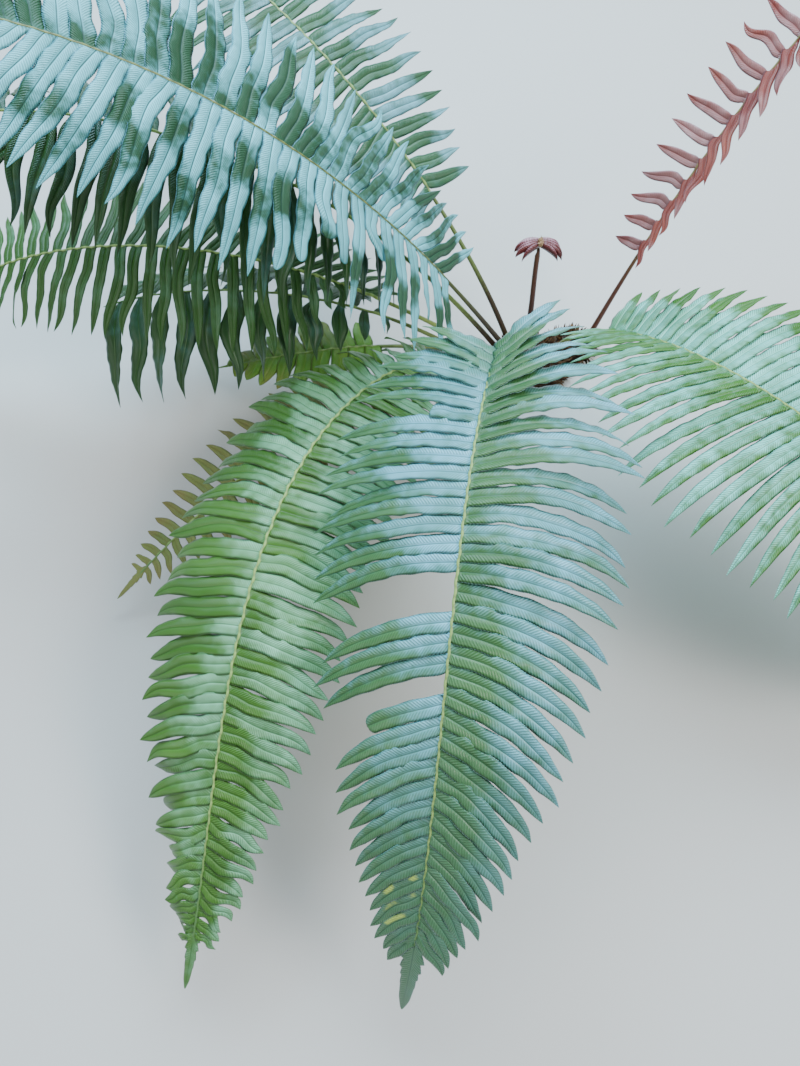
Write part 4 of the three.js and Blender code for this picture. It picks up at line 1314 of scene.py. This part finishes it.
@dataclass
class Frond:
    """One frond: its leaflets, its tail and the stalk from the crown to the tip."""

    TAIL_STEPS: ClassVar = 48
    TAIL_LAST_STEP: ClassVar = 0.99
    TAIL_FIRST: ClassVar = 0.3
    TAIL_POINT: ClassVar = 0.16
    TAIL_LEAST: ClassVar = 0.5
    TAIL_SUNK: ClassVar = 0.9
    TAIL_THICKNESS: ClassVar = 0.5
    TAIL_PUFF: ClassVar = 0.12
    TAIL_TONE: ClassVar = 0.6
    # Painted sheen on the frond's lobed end.
    TAIL_SHEEN: ClassVar = 0.3
    LOBE_DEPTH: ClassVar = 0.9
    LOBED: ClassVar = 0.72
    RINGS_PER_PAIR: ClassVar = 6
    BARE_RINGS: ClassVar = 14
    STALK_END: ClassVar = 0.999
    STALK_LEAST: ClassVar = 0.35
    STALK_SUNK: ClassVar = 0.3
    SWELLING: ClassVar = 0.12
    CALM: ClassVar = 0.8

    growth: Growth
    number: int
    leaf: LeafFinish
    stalk: StalkFinish
    shape: LeafShape
    bands: tuple[Band, Band]
    yellowed: tuple[tuple[Side, int], ...] = ()
    cover: float = 0.6
    zigzag: float = 0.7
    bead: float = 0.4
    rib: Rib = field(init=False)
    left: LeafletRow = field(init=False)
    right: LeafletRow = field(init=False)

    def __post_init__(self) -> None:
        """Grows the rib and both rows."""
        self.rib = Rib(self.growth)
        self.left = LeafletRow(self.growth, self.rib, Side.LEFT, 2 * self.number)
        self.right = LeafletRow(self.growth, self.rib, Side.RIGHT, 2 * self.number + 1)

    def nodes(self) -> list[str]:
        """Names of the solid blades that the leaflets stand for."""
        base = f"blade_{self.growth.name}"
        return [base] if self.growth.split == 1 else [f"{base}_inner", f"{base}_outer"]

    def leaflets(self, material: bpy.types.Material) -> None:
        """Makes all leaflets of the frond as one piece."""
        g = self.growth
        maker = LeafletMaker(self.shape, self.bands, random=np.random.default_rng(LEAF_SEED + self.number))
        edges = self.rib.rooms()
        made = []
        for hand, row in enumerate((self.left, self.right)):
            row.stand_apart(ALTERNATION)
            inset = (1 - g.fill * self.shape.widen[hand]) / 2
            for k in np.flatnonzero(row.last):
                room = edges[k + 1] - edges[k]
                ends = np.array([edges[k] + room * inset, edges[k + 1] - room * inset]) + row.shift * room
                at, _, right, _ = self.rib.frame(ends)
                foot = at + right * (int(row.side) * self.rib.half_width(ends) * self.cover)[:, None]
                yellow = (row.side, k) in self.yellowed
                made.append(maker.build(row, k, foot, g.bite(row.side, k) < 1, yellow))
        made.append(self.tail())
        starts = np.cumsum([0] + [len(part[0]) for part in made])
        points, leaf, kind, sheen = (np.vstack([part[n] for part in made]) for n in (0, 2, 3, 4))
        faces = np.vstack([part[1] + start for part, start in zip(made, starts)])
        marks = {Patch.LEAF: leaf, Patch.KIND: kind, Patch.SHEEN: sheen}
        item = Piece.mesh(f"leaflets_{g.name}", points, faces, marks)
        item.data.materials.append(material)
        Piece.hand_over(item, self.leaf.slot, *self.nodes())

    def tail(self) -> tuple[np.ndarray, ...]:
        """The lobed end of the blade, in the form of a leaflet along the rib.

        Returns:
            Vertices in mm, triangles, and the three attributes that the finish reads.
        """
        g = self.growth
        segments, last = self.TAIL_STEPS, self.TAIL_LAST_STEP
        length = g.tail * LAST_LEAFLET * (1 + TAIL_LEAD)
        start = 1 - length / g.length
        t = np.linspace(0, last, segments + 1)
        at, _, right, upper = self.rib.frame(start + (1 - start) * t)
        widest = min(TAIL_WIDTH, g.tail * TAIL_SLENDER) * 0.5
        lobe = (t * (4 + g.tail / 20)) % 1.0
        deep = self.LOBE_DEPTH * np.clip(1 - t / self.LOBED, 0, 1)
        end = np.sqrt(np.clip((1 - t) / self.TAIL_POINT, 0, 1))
        lead = 0.35 + 0.65 * np.clip(t / self.TAIL_FIRST, 0, 1)
        half = widest * lead * (1.12 - 0.78 * t) * end * (1 + deep * (lobe - 0.35))
        half = np.maximum(half, self.TAIL_LEAST)
        sunk = self.TAIL_SUNK * np.clip(1 - t / self.TAIL_FIRST, 0, 1)
        rim = len(LeafletMesh.TEETH)
        fine = np.linspace(0, last, rim * segments + 1)
        rim_at, _, rim_right, rim_upper = self.rib.frame(start + (1 - start) * fine)
        rim_half = np.interp(fine, t, half)
        rows = []
        marks = []
        for grid, dip in ((LeafletMesh.TOP, 0.0), (LeafletMesh.BOTTOM, self.TAIL_THICKNESS)):
            for i in range(segments + 1):
                for v in grid:
                    rise = self.TAIL_PUFF * half[i] * (1 - (2 * abs(v) - 1) ** 2) - dip - sunk[i]
                    rows.append(at[i] + right[i] * v * half[i] + upper[i] * rise)
                    marks.append((v, t[i] * length, half[i], 1.0 if dip else 0.0, t[i]))
        for sign in (-1, 1):
            for i in range(rim * segments + 1):
                seat = rim_right[i] * sign * rim_half[i] - rim_upper[i] * np.interp(fine[i], t, sunk)
                rows.append(rim_at[i] + seat)
                marks.append((sign, fine[i] * length, rim_half[i], 0.0, fine[i]))
        rows.append(self.rib.frame(1.0)[0][0])
        marks.append((0.0, length, 0.4, 0.0, 1.0))
        marks = np.array(marks)
        leaf = marks[:, :3]
        kind = np.stack([np.full(len(marks), self.TAIL_TONE), marks[:, 3], marks[:, 4]], -1)
        sheen = np.tile([self.TAIL_SHEEN, 0.0, 1.0], (len(marks), 1))
        return np.array(rows), LeafletMesh.faces(segments)[:, ::-1], leaf, kind, sheen

    def stalk_line(self) -> tuple[np.ndarray, ...]:
        """Centre points, radii and shares of the stalk from inside the crown to the tip.

        Returns:
            Points in mm, radii in mm, shares of the rib and swellings from 0 to 1.
        """
        g = self.growth
        root = min(STEM_ROOT, (g.foot_z - STEM_ROOT_ABOVE_GROUND) / math.sin(self.rib.climb(np.array(0.0))))
        edges = self.rib.rooms()
        middles = np.linspace(edges[0], edges[-1], self.RINGS_PER_PAIR * g.pairs + 1)[1:-1]
        bare = np.linspace(0, g.blade_from, self.BARE_RINGS)
        shares = np.concatenate([[-root / g.length], bare, middles, [edges[-1], self.STALK_END]])
        stem = STEM_FOOT_RADIUS + (STEM_TOP_RADIUS - STEM_FOOT_RADIUS) * np.clip(shares / g.blade_from, 0, 1)
        blade = self.rib.half_width(shares)
        radius = np.where(shares <= g.blade_from, stem, np.minimum(blade, STEM_TOP_RADIUS))
        radius = np.maximum(radius * np.where(shares > edges[-1], 0.5, 1.0), self.STALK_LEAST)
        at, _, right, upper = self.rib.frame(shares)
        phase = np.interp(shares, edges, np.arange(g.pairs + 1)) - 0.25
        leafy = (shares > g.blade_from) & (shares < edges[-1])
        calm = 1 - self.CALM * np.clip((shares - g.blade_from) / (1 - g.blade_from), 0, 1) ** 2
        beat = np.where(leafy, -self.zigzag * calm * np.cos(2 * np.pi * phase), 0.0)
        swell = np.where(leafy, np.cos(4 * np.pi * phase) * 0.5 + 0.5, 0.0)
        radius = radius * (1 + self.SWELLING * swell)
        proud = radius - self.STALK_SUNK - self.bead * swell
        sunk = np.where(shares <= g.blade_from, STEM_TOP_RADIUS, proud)
        return at - upper * sunk[:, None] + right * beat[:, None], radius, shares, swell

    def stem(self, recipe: StalkRecipe, material: bpy.types.Material) -> None:
        """Makes the stalk as one piece."""
        points, radius, shares, swell = self.stalk_line()
        name = self.growth.name
        made = recipe.sweep(f"stalk_{name}", points, radius, (shares, swell), STALK_GROOVE, material)
        Piece.hand_over(made, self.stalk.slot, f"stem_{name}")


@dataclass(frozen=True)
class Dome:
    """A lumpy half ellipsoid on a flat underside."""

    centre: tuple[float, float]
    size: tuple[float, float, float]
    seed: int
    sides: int = 48
    tiers: int = 18
    lumps: int = 6
    girth: float = 0.955
    lump_height: float = 0.012

    def mesh(self) -> tuple[np.ndarray, np.ndarray]:
        """Vertices in mm and triangles."""
        centre, size, sides, tiers = self.centre, self.size, self.sides, self.tiers
        beats = np.random.default_rng(self.seed).uniform(0, 2 * np.pi, (self.lumps, 2))
        turns = np.arange(sides) / sides * 2 * np.pi
        rings = []
        for tier in range(tiers):
            lift = tier / tiers * math.pi / 2
            lump = sum(
                np.sin((3 + n) * turns + b[0]) * math.sin((2 + n) * lift + b[1])
                for n, b in enumerate(beats)
            )
            grow = self.girth + self.lump_height * lump
            rings.append(np.stack([
                centre[0] + size[0] * grow * math.cos(lift) * np.cos(turns),
                centre[1] + size[1] * grow * math.cos(lift) * np.sin(turns),
                size[2] * grow * math.sin(lift)], -1))
        points = np.vstack(rings + [[[*centre, size[2] * self.girth]], [[*centre, 0.0]]])
        top, under = len(points) - 2, len(points) - 1
        faces = []
        for i in range(sides):
            j = (i + 1) % sides
            for a in range(0, (tiers - 1) * sides, sides):
                b = a + sides
                faces += [(a + i, a + j, b + j), (a + i, b + j, b + i)]
            a = (tiers - 1) * sides
            faces += [(a + i, a + j, top), (j, i, under)]
        return points, np.array(faces, np.int32)


@dataclass(frozen=True)
class Crown:
    """The short rootstock: two low domes under a coat of dry scales."""

    first: Dome = Dome((0.0, -8.0), (62.0, 50.0, 48.0), 3)
    second: Dome = Dome((72.0, 30.0), (42.0, 26.0, 31.0), 8)
    coat: tuple[float, ...] = (60000.0, 0.013, 0.0045, 0.6, 0.5)
    coat_seed: int = 4
    ground: float = 0.0005

    def make(self, scales: ScaleRecipe, bark: bpy.types.Material, chaff: bpy.types.Material) -> None:
        """Makes the two domes and their coat."""
        first, second = self.first.mesh(), self.second.mesh()
        points = np.vstack([first[0], second[0]])
        faces = np.vstack([first[1], second[1] + len(first[0])])
        body = Piece.mesh("crown_body", points, faces, {})
        body.data.materials.append(bark)
        Piece.hand_over(body, "crown", "crown")
        seat = Piece.mesh("coat_seat", points, faces, {})
        made = scales.coat(seat, "crown_scales", self.coat, self.coat_seed, chaff)
        keep_above(made, self.ground)
        Piece.hand_over(made, "crown")


def keep_above(item: bpy.types.Object, level: float) -> None:
    """Lifts every vertex of a piece that is under a level to that level."""
    place = np.empty(len(item.data.vertices) * 3, np.float32)
    item.data.vertices.foreach_get("co", place)
    place[2::3] = np.maximum(place[2::3], level)
    item.data.vertices.foreach_set("co", place)
    item.data.update()


@dataclass
class Crozier:
    """The curled young frond: a bare stalk under an arched, folded head."""

    SWAY: ClassVar = 0.9
    HOOK_RINGS: ClassVar = 12
    HOOK_TURN: ClassVar = 200
    HOOK_RADII: ClassVar = (7.0, 6.0)
    HOOK_THICKNESS: ClassVar = (2.3, 1.0)
    SEAT_GRID: ClassVar = (14, 7)
    SEAT_RADII: ClassVar = (4.5, 7.5, 6.5)
    x: float = -1.0
    y: float = 26.0
    z: float = 30.0
    height: float = 142.0
    lean: float = 16.0
    radius: float = 4.6
    tip_radius: float = 3.8
    head_rise: float = 11.32
    half_span: float = 33.0
    leaflets: int = 6
    spread: float = 46.0
    girth: float = 5.6
    segments: int = 9
    sides: int = 8
    hair_coat: tuple[float, ...] = (900000.0, 0.0062, 0.0016, 0.1, 0.7)
    hair_seed: int = 9
    head_seed: int = 21
    top: np.ndarray = field(init=False)
    way: np.ndarray = field(init=False)
    back: np.ndarray = field(init=False)
    across: np.ndarray = field(init=False)

    def __post_init__(self) -> None:
        """Finds the top of the stalk, its way up, and the direction its head looks."""
        lean = math.radians(self.lean)
        self.across = np.array([1.0, 0.0, 0.0])
        self.way = np.array([0.0, math.sin(lean), math.cos(lean)])
        self.back = np.cross(self.across, self.way)
        self.top = np.array([self.x, self.y, self.z]) + self.way * self.height

    def stalk(self, recipe: StalkRecipe, material: bpy.types.Material) -> None:
        """Makes the stalk with its tip hooked over."""
        t = np.linspace(0, 1, 16)
        foot = np.array([self.x, self.y, self.z])
        straight = foot + (self.top - foot) * t[:, None]
        straight[:, 0] += self.SWAY * np.sin(t * 5.0)
        bend = np.linspace(0.15, 1, self.HOOK_RINGS) * math.radians(self.HOOK_TURN)
        tall, deep = self.HOOK_RADII
        hook = self.top + self.way * (np.sin(bend) * tall + 3.0)[:, None]
        hook = hook + self.back * ((1 - np.cos(bend)) * -deep)[:, None]
        points = np.vstack([straight, hook])
        slim = self.radius + (self.tip_radius - self.radius) * t
        radius = np.concatenate([slim, np.linspace(*self.HOOK_THICKNESS, self.HOOK_RINGS)])
        share = np.linspace(0, 1, len(points))
        made = recipe.sweep("stalk_crozier", points, radius, (share, share * 0), CROZIER_GROOVE, material)
        Piece.hand_over(made, "stem_young", "stem_crozier")

    def head(self, material: bpy.types.Material) -> None:
        """Makes the folded leaflets that hang from the hooked tip."""
        rnd = np.random.default_rng(self.head_seed)
        segments, sides = self.segments, self.sides
        centre = self.top + self.way * (self.head_rise + 2.0)
        points, faces, leaf, kind, count = [], [], [], [], 0
        for side in (-1, 1):
            for n in range(self.leaflets):
                share = n / (self.leaflets - 1)
                spread = math.radians(-self.spread + 2 * self.spread * share)
                start = centre + self.way * 7.0 + self.back * 7.0 * math.sin(spread)
                reach = self.half_span * (1 + 0.05 * rnd.normal())
                drop = 19.0 + 8.0 * rnd.uniform() - 7.0 * math.cos(spread)
                out = self.across * side * math.cos(spread * 0.7) + self.back * 0.42 * math.sin(spread)
                for i in range(segments + 1):
                    t = i / segments
                    girth = self.girth * math.sin(math.pi * min(0.16 + t * 0.80, 0.98)) ** 0.6
                    spine = start + out * reach * math.sin(t * 1.45) - self.way * drop * t**1.6
                    for j in range(sides):
                        turn = 2 * math.pi * j / sides
                        ridge = 1.0 + 0.22 * math.cos(3 * turn + n)
                        flat, tall = 0.62 * math.cos(turn), math.sin(turn)
                        points.append(spine + (self.back * flat + self.way * tall) * girth * ridge)
                        leaf.append((max(tall, 0.0), t * reach, girth))
                        kind.append((rnd.uniform() * 0.2 + 0.5 * share, 0.0, t))
                faces.append(self.tube(side) + count)
                count += (segments + 1) * sides
        leaf = np.array(leaf)
        # Painted highlight on the upper side of the head's leaflets, strongest part way along them.
        reached = leaf[:, 1] / HEAD_HIGHLIGHT_SPAN
        top_highlight = 0.75 * np.clip(1 - np.abs(reached - 0.45) / 0.35, 0, 1) * leaf[:, 0]
        sheen = np.stack([top_highlight, top_highlight * 0, top_highlight * 0 + 0.5], -1)
        marks = {Patch.LEAF: leaf, Patch.KIND: np.array(kind), Patch.SHEEN: sheen}
        item = Piece.mesh("crozier_leaflets", np.array(points), np.vstack(faces), marks)
        item.data.materials.append(material)
        Piece.hand_over(item, "frond_curled", "crozier_head")

    def tube(self, side: int) -> np.ndarray:
        """Triangles of one closed leaflet of the head on a side, -1 or 1."""
        segments, sides = self.segments, self.sides
        faces = []
        for a in range(0, segments * sides, sides):
            for i in range(sides):
                j = (i + 1) % sides
                quad = (a + i, a + j, a + sides + j, a + sides + i)[::-side]
                faces += [(quad[0], quad[1], quad[2]), (quad[0], quad[2], quad[3])]
        end = segments * sides
        for j in range(1, sides - 1):
            faces += [(0, j + 1, j)[::-side], (end, end + j, end + j + 1)[::-side]]
        return np.array(faces, np.int32)

    def hairs(self, scales: ScaleRecipe, chaff: bpy.types.Material) -> None:
        """Strews tan hairs over the arched tip."""
        centre = self.top + self.way * (self.head_rise + 12.0) + self.back * 5.0
        sides, tiers = self.SEAT_GRID
        wide, deep, tall = self.SEAT_RADII
        turns = (np.arange(sides) / sides * 2 * np.pi)[:, None]
        rings = []
        for tier in range(1, tiers + 1):
            polar = math.pi * tier / (tiers + 1)
            ring = centre + np.cos(turns) * math.sin(polar) * wide * self.across
            ring = ring + np.sin(turns) * math.sin(polar) * deep * self.back
            rings.append(ring + self.way * math.cos(polar) * tall)
        faces = []
        for a in range(0, (tiers - 1) * sides, sides):
            for i in range(sides):
                b, j = a + sides, (i + 1) % sides
                faces += [(a + i, b + i, b + j), (a + i, b + j, a + j)]
        seat = Piece.mesh("hair_seat", np.vstack(rings), np.array(faces, np.int32), {})
        made = scales.coat(seat, "crozier_hairs", self.hair_coat, self.hair_seed, chaff)
        Piece.hand_over(made, "frond_curled")


@dataclass(frozen=True)
class Lamp:
    """One soft round lamp: sizes in metres, power in watts."""

    name: str
    at: tuple[float, float, float]
    aim: tuple[float, float, float]
    size: float
    power: float
    colour: tuple[float, float, float]

    def hang(self) -> None:
        """Hangs the lamp."""
        data = bpy.data.lights.new(self.name, "AREA")
        data.shape, data.size, data.energy, data.color = "DISK", self.size, self.power, self.colour
        item = Piece.link(self.name, data)
        item.location = self.at
        item.rotation_euler = (Vector(self.aim) - Vector(self.at)).to_track_quat("-Z", "Y").to_euler()


MIDDLE = (-0.15, -0.1, 0.2)
LAMPS = (
    Lamp("sky_panel", (0.1, 1.5, 2.5), MIDDLE, 2.2, 125.0, (0.64, 0.86, 1.0)),
    Lamp("key", (1.7, -0.9, 2.6), MIDDLE, 1.2, 64.0, (1.0, 0.98, 0.95)),
    Lamp("side_panel", (-0.9, 0.7, 1.5), (-0.45, 0.1, 0.45), 0.9, 22.0, (0.45, 0.76, 1.0)),
    Lamp("fill", (-2.2, -1.4, 1.8), MIDDLE, 1.8, 25.0, (0.95, 0.98, 1.0)),
)


@dataclass(frozen=True)
class Studio:
    """Pale floor, soft lights and the camera at the photo's viewing angle."""

    camera_at: tuple[float, float, float] = (-0.197, -0.772, 1.03)
    camera_pitch: float = 25.0
    lens: float = 27.016
    sensor: float = 36.0
    reach: float = 9.0
    air: tuple[float, ...] = (0.82, 0.87, 0.92, 1.0)
    air_strength: float = 0.52

    def floor(self) -> None:
        """Lays the floor."""
        mesh = bpy.data.meshes.new("floor")
        corners = [(x * self.reach, y * self.reach, 0.0) for x, y in ((-1, -1), (1, -1), (1, 1), (-1, 1))]
        mesh.from_pydata(corners, [], [(0, 1, 2, 3)])
        item = Piece.link("floor", mesh)
        s = Shades("floor_pale")
        body = s.mix(0.5, (0.66, 0.655, 0.64), (0.70, 0.695, 0.68))
        mesh.materials.append(s.finish(body, 0.9, s.noise(30.0), 0.0))
        item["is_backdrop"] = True

    def make(self) -> None:
        """Sets up floor, lamps, surroundings and camera."""
        self.floor()
        for lamp in LAMPS:
            lamp.hang()
        world = bpy.data.worlds.new("surroundings")
        world.use_nodes = True
        background = world.node_tree.nodes["Background"]
        background.inputs["Color"].default_value = self.air
        background.inputs["Strength"].default_value = self.air_strength
        bpy.context.scene.world = world
        data = bpy.data.cameras.new("camera")
        data.lens, data.sensor_width, data.clip_start = self.lens, self.sensor, 0.02
        item = Piece.link("camera", data)
        item.location = self.camera_at
        item.rotation_euler = (math.radians(self.camera_pitch), 0.0, 0.0)
        bpy.context.scene.camera = item


EVEN = (Band(0.0, 1.2, 0.5, 0.3), Band(0.0, 1.2, 0.5, 0.3))
SHADY = (Band(0.15, 0.6, 0.45, 0.0, 0.3, 0.3, 0.5), Band(0.2, 0.7, 0.45, 0.0, 0.3, 0.3, 0.5))

LOOKS: dict[str, tuple] = {
    "short_old": (BRIGHT, OLIVE, LeafShape(wave=0.12, twist=12), EVEN),
    "low_dark": (DEEP, OLIVE,
                 LeafShape(fold=0.1, twist=24, wander=4.5, join=0.3, plateau=2.4, widen=(1, 1),
                           foot_reach=26), SHADY),
    "faded": (FADED, STRAW, LeafShape(wave=0.14, twist=14, plateau=4.0, widen=(1, 1)), EVEN),
    "left_under": (YOUNG, STRAW,
                   LeafShape(twist=14, wander=2.6, plateau=4.0, widen=(1, 0.95), hook=6), SHADY),
    "under_top": (DEEP, STRAW,
                  LeafShape(fold=0.1, twist=22, wander=4.0, join=0.45, plateau=2.6, widen=(1, 1),
                            foot_reach=18), SHADY),
    "back_left": (BLUISH, OLIVE, LeafShape(twist=14, wander=2.0, plateau=2.6, widen=(1, 1)),
                  (Band(0.1, 0.7, 0.8, 0.1, 0.3, 0.3, 0.4), Band(0.1, 0.7, 0.8, 0.1, 0.3, 0.3, 0.4))),
    "left_top": (SILVER, MOSSY,
                 LeafShape(fold=-0.03, puff=0.14, twist=9, roll=3, join=0.98, wave=0.08, wander=2.6,
                           plateau=3.6, widen=(1.16, 1.16), first_widen=-0.24, hook=14, ripple=0.08),
                 (Band(0.44, 0.74, -0.2, 1.0, 0.22, 0.10, 0.34, 0.55, 0.5),
                  Band(-0.1, 0.58, -0.2, 1.0, 0.3, 0.16, 0.40, 0.5, 0.5)), (), 0.75, 0.3, 0.2),
    "young_red": (COPPER, RUSSET,
                  LeafShape(fold=0.12, twist=14, roll=0, join=0.8, plateau=3.4, widen=(0.88, 1.8), wander=2,
                            hook=5),
                  (Band(-0.3, 0.8, 0.85, 0.3, 0.6, 0.1, 0.2), Band(0.75, 1.3, 0.6, 0.0, 0.3, 0.1, 0.3))),
    "front_centre": (FRESH, STRAW, LeafShape(twist=5, first_widen=0.8, widen=(1.22, 1.16), ripple=0.05),
                     (Band(0.34, 1.3, 0.85, 0.08, 0.4, 0.12, 0.18, 0.2, 0.4),
                      Band(-0.3, 0.46, 0.95, 0.12, 0.4, 0.10, 0.18, 0.62, 0.4)),
                     ((Side.RIGHT, 31), (Side.RIGHT, 32), (Side.RIGHT, 33)), 0.5, 0.5, 0.35),
    "right": (MINT, STRAW, LeafShape(twist=5, first_widen=0.3, widen=(1.2, 1.25)),
              (Band(-0.3, 0.56, 1.0, -0.1, 0.25, 0.1, 0.14, 0.0, 0.3),
               Band(0.3, 1.3, 0.68, 0.14, 0.5, 0.15, 0.35, 0.0, 0.5)),
              (), 0.45, 0.4, 0.3),
    "front_left": (GREEN, STRAW,
                   LeafShape(twist=9, wander=2.4, plateau=4.8, widen=(1.2, 1.22), droop=(0.0, 16.0)),
                   (Band(0.30, 1.3, 0.85, 0.0, 0.45, 0.16, 0.25, 0.3),
                    Band(-0.3, 0.34, 0.9, 0.0, 0.4, 0.12, 0.22, 0.7)), (), 0.35, 0.9, 0.8),
}


def main() -> None:
    """Builds every sub-assembly in order and reports the pieces."""
    logging.basicConfig(level=logging.INFO, format="%(name)s %(message)s")
    Studio().make()
    stalks, scales = StalkRecipe(), ScaleRecipe()
    fronds = [Frond(growth, number, *LOOKS[growth.name]) for number, growth in enumerate(GROWTHS)]
    rows = [(frond.number, row) for frond in fronds for row in (frond.left, frond.right)]
    Thicket(rows, [frond.rib.line for frond in fronds]).clear()
    leaf_skins = {look[0].name: leaf_material(look[0]) for look in LOOKS.values()}
    stalk_skins = {look[1].name: stalk_material(look[1]) for look in LOOKS.values()}
    for frond in fronds:
        frond.leaflets(leaf_skins[frond.leaf.name])
        frond.stem(stalks, stalk_skins[frond.stalk.name])
    bark = chaff_material("crown_bark", (0.035, 0.02, 0.012), (0.09, 0.055, 0.03))
    chaff = chaff_material("crown_chaff", (0.06, 0.03, 0.015), (0.20, 0.11, 0.05))
    wool = chaff_material("crozier_wool", (0.38, 0.22, 0.11), (0.62, 0.43, 0.26))
    Crown().make(scales, bark, chaff)
    crozier = Crozier()
    crozier.stalk(stalks, stalk_material(StalkFinish(
        "stalk_umber", "stem_young", (0.045, 0.013, 0.007), (0.085, 0.026, 0.012), (0.26, 0.13, 0.05),
        foot_share=0.4, roughness=0.3)))
    crozier.head(leaf_material(LeafFinish(
        "leaf_rose", "frond_curled", (0.11, 0.014, 0.014), (0.22, 0.034, 0.034), (0.72, 0.38, 0.48),
        (0.10, 0.02, 0.02), (0.70, 0.44, 0.52), (0.2, 0.05, 0.04), sheen_share=0.6, roughness=0.25)))
    crozier.hairs(scales, wool)
    boxes = [[list(corner) for corner in box] for box in (CAD_BOX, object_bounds())]
    for name, box in zip(("cad", "visual"), boxes):
        LOG.info("%s box %s", name, [[round(x, 4) for x in corner] for corner in box])


if __name__ == "__main__":
    main()
